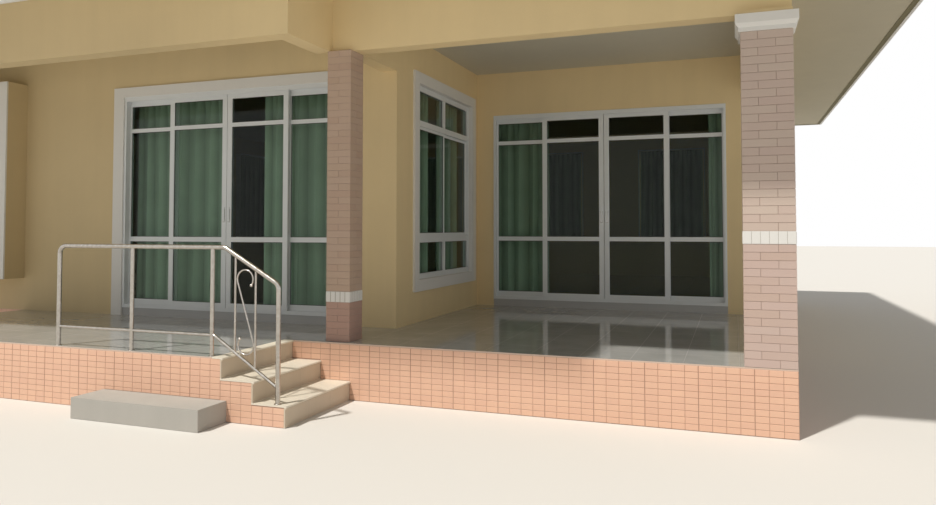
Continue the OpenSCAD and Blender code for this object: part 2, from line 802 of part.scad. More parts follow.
// Ceilings of terrace, porch and rooms, each between its walls and beams
module ceilings() {
    color("gainsboro") place() translate([0, 0, ceiling_z]) linear_extrude(soffit_t) union() {
        translate([side_x, beam_y1]) square([-beam_t - 30 - side_x, terrace_d - beam_y1]);
        polygon([
            [left_x + beam_t, wing_y + beam_t], [wing_x1 - beam_t, wing_y + beam_t],
            [wing_x1 - beam_t, beam_y0], [wing_x1, beam_y0], [wing_x1, beam_y1], [side_x - beam_t, beam_y1],
            [side_x - beam_t, porch_d], [left_x + beam_t, porch_d]
        ]);
        polygon([
            [left_x + wall_t, porch_d + wall_t], [side_x - wall_t, porch_d + wall_t],
            [side_x - wall_t, terrace_d + wall_t], [-wall_t, terrace_d + wall_t],
            [-wall_t, house_d - wall_t], [left_x + wall_t, house_d - wall_t]
        ]);
    }
}

// Outline of the eaves, taken in by d
module eaves(d) {
    polygon([[ex0 + d, gy0 + d], [gx1 - d, gy0 + d], [gx1 - d, ey0 + d],
             [ex1 - d, ey0 + d], [ex1 - d, ey1 - d], [ex0 + d, ey1 - d]]);
}

// Soffits under the eaves, from the walls and beams to the fascia boards
module eave_soffits() {
    color("lightgray") place() translate([0, 0, soffit_z]) linear_extrude(soffit_t) difference() {
        eaves(board_t);
        polygon([[left_x, wing_y], [wing_x1, wing_y], [wing_x1, beam_y0],
                 [0, beam_y0], [0, house_d], [left_x, house_d]]);
    }
}

// White fascia boards along all eaves
module fascia() {
    color("white") place() translate([0, 0, fascia_z0]) linear_extrude(fascia_h) difference() {
        eaves(0);
        eaves(board_t);
    }
}

// Tiled shell of the hipped roof
module roof_tiles() {
    color("dimgray") place() difference() {
        under_slopes(0, edge_t);
        under_slopes(roof_t, far);
    }
}

cap_r = 90;
hub_r = 150;
hub_in = hub_r * 0.55;
cap_end = 190;

// Round bar along a ridge from a hub at a towards the direction v, over a length l
module cap_from(a, v, l) {
    u = v / norm(v);
    bar(a + u * hub_in, a + u * l, 2 * cap_r);
}

// Half-round caps on ridges and hips, with hubs where they meet
module ridge_caps() {
    a = [rx0 + hip_r, mid_y, tile_z + hip_r * rise];
    b = [rx1 - hip_r, mid_y, tile_z + hip_r * rise];
    c = [wing_mid, ry0 + wing_r, tile_z + wing_r * rise];
    d = [wing_mid, qy0 + wing_r, tile_z + wing_r * rise];
    hip_l = norm([hip_r, hip_r, hip_r * rise]) - cap_end;
    wing_l = norm([wing_r, wing_r, wing_r * rise]) - cap_end;
    color("dimgray") place() difference() {
        union() {
            cap_from(a, [1, 0, 0], b[0] - a[0] - hub_in);
            cap_from(b, [1, -1, -rise], hip_l);
            cap_from(b, [1, 1, -rise], hip_l);
            cap_from(a, [-1, 1, -rise], hip_l);
            cap_from(a, c - a, norm(c - a) - hub_in);
            cap_from(c, [0, -1, 0], c[1] - d[1] - hub_in);
            cap_from(d, [-1, -1, -rise], wing_l);
            cap_from(d, [1, -1, -rise], wing_l);
            for (p = [a, b, c, d]) translate(p) sphere(r = hub_r);
        }
        under_slopes(0, far);
    }
}

house_floor();
terrace_base();
landing_base();
terrace_tiles();
step_core();
step_tiles();
front_block();
column_right();
column_left();
column_trim();
front_beam();
side_beams();
wing_beam();
end_walls();
rear_wall();
terrace_wall_piers();
door_curbs();
side_wall_piers();
wall_bands();
porch_wall_piers();
bay_box();
opening_trims();
terrace_door_frame();
terrace_leaf_left();
terrace_glass_left();
terrace_leaf_right();
terrace_glass_right();
porch_door_frame();
porch_leaf_left();
porch_glass_left();
porch_leaf_right();
porch_glass_right();
window_frames();
sash_pairs();
fixed_glass();
curtains();
handrail();
handrail_scroll();
lamp_body();
lamp_diffuser();
ceilings();
eave_soffits();
fascia();
roof_tiles();
ridge_caps();
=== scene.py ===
# Finishes the bungalow: face bricks, base tiles, roof tiles, glass, curtains, rails, render and boards
import math

import bpy
import numpy as np
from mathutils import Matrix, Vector


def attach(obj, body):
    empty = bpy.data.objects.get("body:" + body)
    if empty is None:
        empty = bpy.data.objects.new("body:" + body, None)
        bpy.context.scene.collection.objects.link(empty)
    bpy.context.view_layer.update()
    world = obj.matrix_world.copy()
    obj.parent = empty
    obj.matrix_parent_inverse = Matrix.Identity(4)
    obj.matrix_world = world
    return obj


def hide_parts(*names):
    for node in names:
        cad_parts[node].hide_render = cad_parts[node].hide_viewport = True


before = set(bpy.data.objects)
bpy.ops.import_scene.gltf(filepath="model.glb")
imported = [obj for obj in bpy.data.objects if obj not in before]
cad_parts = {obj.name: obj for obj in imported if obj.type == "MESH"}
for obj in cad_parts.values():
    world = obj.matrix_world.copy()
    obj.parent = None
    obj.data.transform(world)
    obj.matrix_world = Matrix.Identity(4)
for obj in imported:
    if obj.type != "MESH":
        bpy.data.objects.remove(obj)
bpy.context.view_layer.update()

# the plan's zero (right front corner of the raised base) seen from the middle of the house, in metres
PLAN = np.array([5.6, -5.0425, 0.0])

# sizes repeated from the part's source, in plan millimetres: levels
FLOOR, LANDING, RISER, BEAM_Z = 500.0, 488.0, 500.0 / 3, 3150.0
# faces of the walls and of the landing
SIDE_X, LEFT_X, LANDING_X, LANDING_X0, LANDING_Y = -3685.0, -11200.0, -4245.0, -8860.0, -990.0
HOUSE_D, TERRACE_D, PORCH_D = 10700.0, 3540.0, 1020.0
# depth of a tread, overhang at the cheek, length of the concrete step, thickness of floor and step tiles
TREAD, CHEEK_LIP, BLOCK_LENGTH, FLOOR_TILE_T, STEP_TILE_T = 296.0, 4.0, 1200.0, 12.0, 16.0
# outline of the main roof's tiles, the wing's right and front edge, the tiles' level and slope
RX0, RX1, RY0, RY1, QX1, QY0 = -12615.0, 1415.0, -1080.0, 11895.0, -2495.0, -1810.0
TILE_Z, RISE = 4050.0, math.tan(math.radians(30))
HIP, WING = (RY1 - RY0) / 2, (QX1 - RX0) / 2
# columns: left edge, front edge, side, white band's lower and upper edge, top of the bricks
RIGHT_COLUMN = (-364.0, 0.0, 364.0, 1405.0, 1500.0, 2990.0)
LEFT_COLUMN = (-3925.0, 50.0, 240.0, 855.0, 950.0, BEAM_Z)
# top of the right column's capital, and the joint between two bricks
CAPITAL_TOP, BRICK_JOINT = 3118.0, 3


def in_metres(points):
    """Points given in plan millimetres, in metres of the house."""
    return PLAN + np.asarray(points, float) / 1000.0


# meshes
def join_grids(parts):
    """Several (vertices, faces) pairs as one, each one's face numbers moved on by the vertices before it."""
    verts, faces, start = [], [], 0
    for v, f in parts:
        verts.append(v)
        faces.append(f + start)
        start += len(v)
    return np.concatenate(verts), np.concatenate(faces)


def make_piece(name, verts, faces, material, body="house", smooth=False, shade=None):
    """A mesh of four-cornered faces from arrays, with its vertices given in plan millimetres. shade, one
    number a vertex, is kept as the attribute tone."""
    mesh = bpy.data.meshes.new(name)
    verts = np.ascontiguousarray(in_metres(verts), np.float32)
    faces = np.ascontiguousarray(faces, np.int32)
    mesh.vertices.add(len(verts))
    mesh.vertices.foreach_set("co", verts.ravel())
    mesh.loops.add(faces.size)
    mesh.loops.foreach_set("vertex_index", faces.ravel())
    mesh.polygons.add(len(faces))
    mesh.polygons.foreach_set("loop_start", np.arange(0, faces.size, faces.shape[1], dtype=np.int32))
    mesh.polygons.foreach_set("use_smooth", np.full(len(faces), smooth, bool))
    mesh.update(calc_edges=True)
    if shade is not None:
        tone = mesh.attributes.new("tone", "FLOAT", "POINT")
        tone.data.foreach_set("value", np.ascontiguousarray(shade, np.float32))
    mesh.validate()
    mesh.materials.append(material)
    obj = bpy.data.objects.new(name, mesh)
    bpy.context.scene.collection.objects.link(obj)
    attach(obj, body)
    return obj


# shader groups and materials
def group(name, inputs, outputs):
    """An empty node group with named value or colour inputs and outputs."""
    g = bpy.data.node_groups.new(name, "ShaderNodeTree")
    for label, kind, value in inputs:
        s = g.interface.new_socket(label, in_out="INPUT", socket_type="NodeSocket" + kind)
        s.default_value = value
    for label, kind in outputs:
        g.interface.new_socket(label, in_out="OUTPUT", socket_type="NodeSocket" + kind)
    return g, g.nodes.new("NodeGroupInput"), g.nodes.new("NodeGroupOutput")


def noise(tree, scale, detail=4.0, vector=None):
    """A noise texture node on object coordinates or on another vector."""
    n = tree.nodes.new("ShaderNodeTexNoise")
    n.inputs["Scale"].default_value = scale
    n.inputs["Detail"].default_value = detail
    n.inputs["Roughness"].default_value = 0.55
    if vector is None:
        vector = tree.nodes.new("ShaderNodeTexCoord").outputs["Object"]
    tree.links.new(vector, n.inputs["Vector"])
    return n


def ramp(tree, value, points):
    """A colour ramp over a value, with (place, grey or colour) points."""
    r = tree.nodes.new("ShaderNodeValToRGB")
    while len(r.color_ramp.elements) < len(points):
        r.color_ramp.elements.new(0.5)
    for e, (place, c) in zip(r.color_ramp.elements, points):
        e.position = place
        e.color = (c, c, c, 1) if isinstance(c, (int, float)) else (*c, 1)
    tree.links.new(value, r.inputs["Fac"])
    return r.outputs["Color"]


def blend(tree, kind, factor, a, b):
    """A colour mix of the given kind; each of factor, a and b is a value or a socket."""
    m = tree.nodes.new("ShaderNodeMix")
    m.data_type = "RGBA"
    m.blend_type = kind
    for socket, value in ((m.inputs[0], factor), (m.inputs[6], a), (m.inputs[7], b)):
        if isinstance(value, bpy.types.NodeSocket):
            tree.links.new(value, socket)
        elif isinstance(value, (int, float)):
            socket.default_value = value
        else:
            socket.default_value = (*value, 1)
    return m.outputs[2]


def maths(tree, op, a, b=None, clamp=False):
    """A math node on values or sockets."""
    m = tree.nodes.new("ShaderNodeMath")
    m.operation = op
    m.use_clamp = clamp
    for i, value in enumerate((a, b)):
        if value is None:
            continue
        if isinstance(value, bpy.types.NodeSocket):
            tree.links.new(value, m.inputs[i])
        else:
            m.inputs[i].default_value = value
    return m.outputs[0]


def place_of(tree):
    """A node with X, Y and Z of the object coordinates."""
    xyz = tree.nodes.new("ShaderNodeSeparateXYZ")
    tree.links.new(tree.nodes.new("ShaderNodeTexCoord").outputs["Object"], xyz.inputs[0])
    return xyz


def weathering_group():
    """Slow patches, rain streaks, dust low down and fine grain over a base colour."""
    g, i, o = group(
        "weathering",
        [("Colour", "Color", (0.8, 0.8, 0.8, 1)), ("Patches", "Float", 0.1), ("Dust", "Float", 0.2),
         ("Dust Height", "Float", 0.5), ("Grain Scale", "Float", 60.0)],
        [("Colour", "Color"), ("Height", "Float")],
    )
    dust_colour, streak_share, least_dust = (0.46, 0.40, 0.32), 0.6, 0.4
    slow = noise(g, 1.1, 5)
    streak_map = g.nodes.new("ShaderNodeMapping")
    streak_map.inputs["Scale"].default_value = (6.0, 6.0, 0.5)
    g.links.new(g.nodes.new("ShaderNodeTexCoord").outputs["Object"], streak_map.inputs["Vector"])
    streaks = noise(g, 1.0, 4, vector=streak_map.outputs["Vector"])
    fine = noise(g, 1.0, 3)
    g.links.new(i.outputs["Grain Scale"], fine.inputs["Scale"])
    patch = maths(g, "MULTIPLY", maths(g, "SUBTRACT", slow.outputs["Fac"], 0.5), i.outputs["Patches"])
    streak = maths(g, "MULTIPLY", maths(g, "SUBTRACT", streaks.outputs["Fac"], 0.5),
                   maths(g, "MULTIPLY", i.outputs["Patches"], streak_share))
    gain = maths(g, "ADD", maths(g, "ADD", patch, streak), 1.0)
    grey = g.nodes.new("ShaderNodeCombineColor")
    for k in range(3):
        g.links.new(gain, grey.inputs[k])
    col = blend(g, "MULTIPLY", 1.0, i.outputs["Colour"], grey.outputs[0])
    xyz = place_of(g)
    level = maths(g, "DIVIDE", xyz.outputs["Z"], i.outputs["Dust Height"])
    low = maths(g, "SUBTRACT", 1.0, level, clamp=True)
    dust = maths(g, "MULTIPLY", maths(g, "MULTIPLY", low, i.outputs["Dust"]),
                 maths(g, "ADD", slow.outputs["Fac"], least_dust))
    g.links.new(blend(g, "MIX", dust, col, dust_colour), o.inputs["Colour"])
    g.links.new(fine.outputs["Fac"], o.inputs["Height"])
    return g


WEATHERING = weathering_group()


def new_material(name):
    """A material with only its Principled shader and output."""
    m = bpy.data.materials.new(name)
    m.use_nodes = True
    t = m.node_tree
    return m, t, t.nodes["Principled BSDF"]


def bump(tree, shader, height, strength, distance):
    """A bump from a height socket into the shader's normal."""
    b = tree.nodes.new("ShaderNodeBump")
    b.inputs["Strength"].default_value = strength
    b.inputs["Distance"].default_value = distance
    tree.links.new(height, b.inputs["Height"])
    tree.links.new(b.outputs["Normal"], shader.inputs["Normal"])


def weathered(name, colour, rough, patches, dust, grain, strength, distance, dust_height=0.5):
    """A material whose colour goes through the weathering group, with a bump from the group's grain. colour
    is a colour, or a function that makes a colour socket in the material's tree."""
    m, t, s = new_material(name)
    w = t.nodes.new("ShaderNodeGroup")
    w.node_tree = WEATHERING
    if callable(colour):
        t.links.new(colour(t), w.inputs["Colour"])
    else:
        w.inputs["Colour"].default_value = (*colour, 1)
    w.inputs["Patches"].default_value = patches
    w.inputs["Dust"].default_value = dust
    w.inputs["Dust Height"].default_value = dust_height
    w.inputs["Grain Scale"].default_value = grain
    t.links.new(w.outputs["Colour"], s.inputs["Base Color"])
    s.inputs["Roughness"].default_value = rough
    bump(t, s, w.outputs["Height"], strength, distance)
    return m, s


def rendered(name, colour, patches=0.1, dust=0.2, grain=45.0, rough=0.8, strength=0.25):
    """Painted render, mortar, board or concrete, with a fine sandy bump."""
    return weathered(name, colour, rough, patches, dust, grain, strength, 0.004, dust_height=0.6)[0]


def toned(name, colours, rough, patches=0.08, dust=0.1, coat=0.0):
    """A fired piece whose colour runs through colours with the piece's own tone, under weathering."""
    def fired(t):
        """The colour of the attribute tone."""
        tone = t.nodes.new("ShaderNodeAttribute")
        tone.attribute_name = "tone"
        return ramp(t, tone.outputs["Fac"], [(k / (len(colours) - 1), c) for k, c in enumerate(colours)])

    m, s = weathered(name, fired, rough, patches, dust, 90.0, 0.3, 0.002)
    s.inputs["Coat Weight"].default_value = coat
    return m


# the second paint colour is the cream darkened as painted shade, used towards the wing's end
CREAM_PAINT, SHADED_CREAM_PAINT, WHITE_PAINT = (0.79, 0.63, 0.36), (0.68, 0.54, 0.31), (0.74, 0.73, 0.70)
BASE_SIDE, GROUT_COLOUR = (0.62, 0.47, 0.38), (0.43, 0.25, 0.18)


def house_paint(t):
    """Cream paint, darker towards the wing's end of the house as painted shade."""
    per_metre, at_middle = 0.2, 0.67
    along = maths(t, "MULTIPLY", place_of(t).outputs["X"], per_metre)
    along = maths(t, "ADD", along, at_middle, clamp=True)
    # darkest end of the ramp: the cream darkened further as painted shade
    deepest_painted_shade = tuple(0.9 * c for c in SHADED_CREAM_PAINT)
    return ramp(t, along, [(0.0, deepest_painted_shade), (at_middle, SHADED_CREAM_PAINT), (1.0, CREAM_PAINT)])


def trim_paint(t):
    """White paint of bands and capital, and cream on the block between the capital's slab and the beam."""
    above = maths(t, "GREATER_THAN", place_of(t).outputs["Z"], (CAPITAL_TOP + 0.5) / 1000)
    return blend(t, "MIX", above, WHITE_PAINT, CREAM_PAINT)


def step_colours(t):
    """Cream tiles of the steps: treads paler as painted sunlight and risers darker as painted shade, a thin
    joint every 330 mm across the flight, and a dark line under each nosing that is a joint and painted
    shadow.
    How far a point is below the next tread tells the parts apart."""
    tread_part, line_part, tile, joint_part = 0.12, 0.135, 0.33, 0.496
    xyz = place_of(t)
    below = maths(t, "FRACT", maths(t, "SUBTRACT", 0.03, maths(t, "DIVIDE", xyz.outputs["Z"], RISER / 1000)))
    tread = maths(t, "LESS_THAN", below, tread_part)
    past_tread = maths(t, "GREATER_THAN", below, tread_part)
    # dark line just under each nosing: a tile joint deepened as painted shadow
    nosing_joint_shadow = maths(t, "MULTIPLY", past_tread, maths(t, "LESS_THAN", below, line_part))
    y = maths(t, "SUBTRACT", xyz.outputs["Y"], float(PLAN[1]))
    across = maths(t, "FRACT", maths(t, "DIVIDE", y, tile))
    joint = maths(t, "GREATER_THAN", maths(t, "ABSOLUTE", maths(t, "SUBTRACT", across, 0.5)), joint_part)
    # riser colour darker as painted shade, tread colour paler as painted sunlight
    face = blend(t, "MIX", tread, (0.62, 0.53, 0.41), (0.80, 0.74, 0.62))
    return blend(t, "MIX", maths(t, "MAXIMUM", nosing_joint_shadow, joint), face, (0.46, 0.38, 0.29))


CREAM = rendered("cream render", house_paint, patches=0.14)
WHITE = rendered("white render", WHITE_PAINT, patches=0.08, grain=60)
TRIM = rendered("white trim render", trim_paint, patches=0.08, grain=60)
CEILING = rendered("ceiling board", (0.62, 0.58, 0.47), patches=0.08, dust=0, grain=30)
# soffit board: the ceiling board's colour darkened as painted shade under the eaves
SOFFIT_SHADED = rendered("soffit board in painted shade", (0.52, 0.48, 0.37), dust=0, grain=30)
SOFFIT_EDGE = rendered("soffit edge strip", (0.20, 0.18, 0.10), patches=0.2, dust=0, grain=50)
BOARD = rendered("white board", (0.76, 0.76, 0.74), patches=0.08, dust=0, grain=80, rough=0.6)
MORTAR = rendered("mortar", (0.42, 0.32, 0.27), patches=0.25, grain=120)
BAND_JOINT = rendered("band joint", (0.36, 0.33, 0.28), patches=0.3, grain=120)
GROUT = rendered("tile joint", GROUT_COLOUR, patches=0.2, grain=120)
CONCRETE = rendered("concrete", (0.42, 0.41, 0.38), patches=0.25, grain=70)
CURB = rendered("grey curb tile", (0.46, 0.46, 0.45), patches=0.12, grain=25, rough=0.4, strength=0.1)
STEP_TILE = rendered("step tile", step_colours, patches=0.3, grain=25, rough=0.45, strength=0.1)
ALUMINIUM = weathered("white aluminium", (0.74, 0.77, 0.78), 0.35, 0.06, 0.1, 300, 0.05, 0.001)[0]
BASE_TILE = toned("base tile", [(0.755, 0.465, 0.33), (0.79, 0.495, 0.345)], 0.42, patches=0.12, coat=0.15)
BRICK_COLOURS = [(0.43, 0.26, 0.22), (0.49, 0.36, 0.27), (0.54, 0.41, 0.36), (0.565, 0.46, 0.39)]
FACE_BRICK = toned("face brick", BRICK_COLOURS, 0.7)
ROOF_TILE = toned("roof tile", [(0.055, 0.036, 0.034), (0.10, 0.066, 0.06)], 0.75, dust=0)


def pane_glass():
    """Tinted pane: glass for the eye, clear for shadow rays, with faint streaks of dust."""
    m, t, s = new_material("tinted glass")
    s.inputs["Base Color"].default_value = (0.66, 0.76, 0.70, 1)
    s.inputs["Transmission Weight"].default_value = 1.0
    s.inputs["IOR"].default_value = 1.2
    film = noise(t, 2.5, 6)
    t.links.new(ramp(t, film.outputs["Fac"], [(0.35, 0.0), (0.9, 0.12)]), s.inputs["Roughness"])
    clear = t.nodes.new("ShaderNodeBsdfTransparent")
    clear.inputs["Color"].default_value = (0.66, 0.74, 0.68, 1)
    path = t.nodes.new("ShaderNodeLightPath")
    mix = t.nodes.new("ShaderNodeMixShader")
    t.links.new(path.outputs["Is Shadow Ray"], mix.inputs[0])
    t.links.new(s.outputs[0], mix.inputs[1])
    t.links.new(clear.outputs[0], mix.inputs[2])
    t.links.new(mix.outputs[0], t.nodes["Material Output"].inputs["Surface"])
    return m


def steel():
    """Polished stainless tube whose colour and polish drift with a fine grain."""
    m, t, s = new_material("stainless steel")
    s.inputs["Metallic"].default_value = 1.0
    n = noise(t, 40, 4)
    tint = ramp(t, n.outputs["Fac"], [(0.3, (0.42, 0.39, 0.35)), (0.7, (0.54, 0.51, 0.47))])
    t.links.new(tint, s.inputs["Base Color"])
    t.links.new(ramp(t, n.outputs["Fac"], [(0.3, 0.16), (0.7, 0.28)]), s.inputs["Roughness"])
    return m


def floor_tiles(name, side):
    """Polished grey tiles 400 mm square with thin joints: a grid of lines from object coordinates. Everything
    under the top face has the rough colour side."""
    tile, joint_part = 0.4, 0.4955
    m, t, s = new_material(name)
    xyz = place_of(t)
    lines = []
    for axis, start in (("X", PLAN[0]), ("Y", PLAN[1])):
        f = maths(t, "FRACT", maths(t, "DIVIDE", maths(t, "SUBTRACT", xyz.outputs[axis], start), tile))
        d = maths(t, "ABSOLUTE", maths(t, "SUBTRACT", f, 0.5))
        lines.append(maths(t, "GREATER_THAN", d, joint_part))
    joint = maths(t, "MAXIMUM", lines[0], lines[1])
    cloud = noise(t, 3.0, 6)
    base = ramp(t, cloud.outputs["Fac"], [(0.3, (0.40, 0.40, 0.38)), (0.7, (0.48, 0.48, 0.46))])
    edge = maths(t, "LESS_THAN", xyz.outputs["Z"], (FLOOR - 1.0) / 1000)
    face = blend(t, "MIX", joint, base, (0.28, 0.27, 0.25))
    t.links.new(blend(t, "MIX", edge, face, side), s.inputs["Base Color"])
    t.links.new(ramp(t, maths(t, "MAXIMUM", joint, edge), [(0.0, 0.07), (1.0, 0.6)]), s.inputs["Roughness"])
    s.inputs["Specular IOR Level"].default_value = 0.7
    return m


GLASS = pane_glass()
STEEL = steel()
FLOOR_TILE = floor_tiles("polished floor tile", BASE_SIDE)
ROOM_FLOOR = floor_tiles("room floor tile", GROUT_COLOUR)


def plain(name, colour, rough, metal=0.0):
    """A plain finish whose roughness and colour drift a little."""
    m, t, s = new_material(name)
    n = noise(t, 25, 3)
    dark = tuple(0.85 * c for c in colour)
    t.links.new(ramp(t, n.outputs["Fac"], [(0.3, dark), (0.7, colour)]), s.inputs["Base Color"])
    t.links.new(ramp(t, n.outputs["Fac"], [(0.3, rough * 0.8), (0.7, rough)]), s.inputs["Roughness"])
    s.inputs["Metallic"].default_value = metal
    return m


RUBBER = plain("black gasket", (0.03, 0.03, 0.03), 0.6)
LOCK = plain("satin lock metal", (0.50, 0.50, 0.48), 0.4, 1.0)
LAMP = plain("lamp plastic", (0.78, 0.79, 0.78), 0.4)
LAMP_END = plain("lamp end cap", (0.30, 0.31, 0.30), 0.45)


def cloth():
    """Grey-green curtain cloth: a weave of fine threads along its own cut, slow fading, painted shade in the
    folds' valleys from the attribute tone, and a soft sheen.
    """
    m, t, s = new_material("green curtain cloth")
    cut = t.nodes.new("ShaderNodeUVMap")
    cut.uv_map = "cut"
    weave = noise(t, 420, 2, vector=cut.outputs["UV"])
    slow = noise(t, 3, 4)
    threads = maths(t, "MULTIPLY", weave.outputs["Fac"], 0.5)
    faded = maths(t, "ADD", threads, maths(t, "MULTIPLY", slow.outputs["Fac"], 0.5))
    dye = ramp(t, faded, [(0.3, (0.37, 0.45, 0.35)), (0.7, (0.48, 0.575, 0.46))])
    depth = t.nodes.new("ShaderNodeAttribute")
    depth.attribute_name = "tone"
    # tone holds each point's fold depth: the valleys are darkened as painted shade
    fold_painted_shade = ramp(t, depth.outputs["Fac"], [(0.0, 0.45), (0.6, 0.9), (1.0, 1.0)])
    t.links.new(blend(t, "MULTIPLY", 1.0, dye, fold_painted_shade), s.inputs["Base Color"])
    s.inputs["Roughness"].default_value = 0.9
    s.inputs["Sheen Weight"].default_value = 0.2
    bump(t, s, weave.outputs["Fac"], 0.2, 0.0008)
    return m


CLOTH = cloth()

# each material with the nodes that it finishes
FINISHES = [
    (CREAM, "front_beam side_beams wing_beam end_walls rear_wall terrace_wall_piers side_wall_piers "
            "porch_wall_piers wall_bands bay_box"),
    (WHITE, "opening_trims"),
    (TRIM, "column_trim"),
    (FACE_BRICK, "column_right column_left"),
    (GROUT, "terrace_base landing_base step_core"),
    (FLOOR_TILE, "terrace_tiles"),
    (ROOM_FLOOR, "house_floor"),
    (STEP_TILE, "step_tiles"),
    (CONCRETE, "front_block"),
    (CURB, "door_curbs"),
    (ALUMINIUM, "terrace_door_frame porch_door_frame terrace_leaf_left terrace_leaf_right porch_leaf_left "
                "porch_leaf_right window_frames sash_pairs"),
    (GLASS, "terrace_glass_left terrace_glass_right porch_glass_left porch_glass_right fixed_glass"),
    (CLOTH, "curtains"),
    (STEEL, "handrail handrail_scroll"),
    (LAMP, "lamp_body lamp_diffuser"),
    (CEILING, "ceilings"),
    (SOFFIT_SHADED, "eave_soffits"),
    (BOARD, "fascia"),
    (ROOF_TILE, "roof_tiles ridge_caps"),
]


def finish_nodes():
    """Gives each node its material, in all of its slots."""
    for material, names in FINISHES:
        for name in names.split():
            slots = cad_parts[name].data.materials
            for i in range(len(slots)):
                slots[i] = material
            if not slots:
                slots.append(material)


finish_nodes()

# one source of small differences, the same in every run
rng = np.random.default_rng(7)


def boxes(lo, hi):
    """Closed boxes from arrays of lowest and highest corners: 8 vertices and 6 faces a box."""
    lo, hi = np.asarray(lo, float).reshape(-1, 3), np.asarray(hi, float).reshape(-1, 3)
    ring = [[0, 0], [1, 0], [1, 1], [0, 1]]
    pick = np.array([[*c, 0] for c in ring] + [[*c, 1] for c in ring], bool)
    v = np.where(pick[None], hi[:, None], lo[:, None]).reshape(-1, 3)
    f = np.array([[0, 3, 2, 1], [4, 5, 6, 7], [0, 1, 5, 4], [1, 2, 6, 5], [2, 3, 7, 6], [3, 0, 4, 7]])
    return v, (f[None] + 8 * np.arange(len(lo))[:, None, None]).reshape(-1, 4)


def plates(origin, u, v, cells, out, bevel=1.5, back=3.0):
    """Thin tiles on a plane through origin with directions u and v: cells holds rows of lowest and highest
    place along u and along v. Each tile is three rings of four corners (back, rim and chamfered front) and
    two caps. Its front stands out before the plane, and its back lies behind it."""
    u, v = np.array(u, float), np.array(v, float)
    n = np.cross(u, v)
    a0, a1, b0, b1 = np.asarray(cells, float).T
    a, b = np.stack([a0, a1, a1, a0], 1), np.stack([b0, b0, b1, b1], 1)
    lift = out + rng.uniform(-0.3, 0.3, len(a0))
    rings = []
    for inset, height in ((0.0, -back + 0 * lift), (0.0, lift - bevel), (bevel, lift)):
        ra = a + inset * np.array([1, -1, -1, 1])
        rb = b + inset * np.array([1, 1, -1, -1])
        rings.append(np.array(origin, float) + ra[..., None] * u + rb[..., None] * v
                     + np.broadcast_to(height[:, None, None], (*ra.shape, 1)) * n)
    verts = np.stack(rings, 1).reshape(-1, 3)
    f = [[3, 2, 1, 0], [8, 9, 10, 11]]
    for r in (0, 4):
        f += [[r + k, r + (k + 1) % 4, r + 4 + (k + 1) % 4, r + 4 + k] for k in range(4)]
    faces = np.array(f)[None] + 12 * np.arange(len(a0))[:, None, None]
    return verts, faces.reshape(-1, 4)


def bevelled(obj, width):
    """Rounds a piece's edges."""
    m = obj.modifiers.new("bevel", "BEVEL")
    m.width, m.segments = width, 1
    m.limit_method = "ANGLE"


def along_wall(verts, place, way):
    """Points given from the middle of an opening (along the wall, into the house, up) in plan millimetres.
    way is the direction along the wall, and the direction into the house is way turned to the left."""
    (x, y), (cx, cy) = place, way
    a, b, z = verts.T
    return np.stack([x + a * cx - b * cy, y + a * cy + b * cx, z], -1)


# brick columns
def coursed(plans, turned, x0, y0, z0, z1, courses):
    """Bricks of a column between z0 and z1: plans holds each brick of one course as x, y from and x, y to,
    and turned those of every second course."""
    z = z0 + (z1 - z0) * np.arange(courses) / courses
    h = (z1 - z0) / courses - BRICK_JOINT
    rows = np.where((np.arange(courses) % 2 == 0)[:, None, None], plans[None], turned[None])
    zz = np.broadcast_to(z[:, None, None], (courses, len(plans), 1))
    lo = np.concatenate([rows[..., :2] + (x0, y0), zz + BRICK_JOINT / 2], -1).reshape(-1, 3)
    hi = np.concatenate([rows[..., 2:] + (x0, y0), zz + BRICK_JOINT / 2 + h], -1).reshape(-1, 3)
    return lo, hi


def pinwheel(side):
    """Plans of a square column's bricks: in each course four bricks chase each other round the core, and
    every second course is mirrored, so each face shows a stretcher and a header in turn."""
    length, width = 242.5, 118.5
    plans = np.array([[0, 0, length, width], [side - width, 0, side, length],
                      [side - length, side - width, side, side], [0, side - length, width, side]], float)
    flip = plans.copy()
    flip[:, 0], flip[:, 2] = side - plans[:, 2], side - plans[:, 0]
    return plans, flip


def crossed(side):
    """Plans of a column one brick wide: two a course, laid the other way in every second course."""
    w = (side - BRICK_JOINT) / 2
    plans = np.array([[0, 0, side, w], [0, side - w, side, side]], float)
    return plans, plans[:, [1, 0, 3, 2]]


def column(name, laid, size, counts, tones, low_gain, low_shift, inset):
    """A column's bricks below and above its white band, and the mortar core that stands back from their
    faces. tones are the ends of its bricks' shades, and gain and shift change those below the band."""
    x0, y0, side, band_z0, band_z1, top = size
    runs = ((FLOOR, band_z0), (band_z1, top))
    parts = [coursed(*laid(side), x0, y0, low, high, n) for (low, high), n in zip(runs, counts)]
    lo, hi = (np.concatenate(ends) for ends in zip(*parts))
    tone = rng.uniform(*tones, len(lo))
    tone = np.where(lo[:, 2] < band_z0, tone * low_gain + low_shift, tone)
    v, f = boxes(lo, hi)
    bricks = make_piece(name + "_bricks", v, f, FACE_BRICK, shade=np.repeat(tone, 8))
    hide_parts(name)
    bevelled(bricks, 0.0015)
    far = side - inset
    v, f = boxes([[x0 + inset, y0 + inset, low] for low, high in runs],
                 [[x0 + far, y0 + far, high] for low, high in runs])
    core = make_piece(name + "_mortar", v, f, MORTAR)
    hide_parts(name)


def column_pieces():
    """Both brick columns: courses below and above the band, and how far the mortar stands back."""
    column("column_right", pinwheel, RIGHT_COLUMN, (15, 24), (0.8, 1.0), 1.0, -0.25, 4)
    column("column_left", crossed, LEFT_COLUMN, (6, 36), (0.28, 0.4), 0.3, 0.0, 3)


def band_cells(side, count, z0, z1, joint):
    """Upright bricks side by side along one face of a column, and the joints between them."""
    w, gap = (side + joint) / count, 2
    a = np.arange(count) * w
    low, high = np.full(count, z0 + gap), np.full(count, z1 - gap)
    return np.stack([a, a + w - joint, low, high], 1), np.stack([a - joint, a, low, high], 1)[1:]


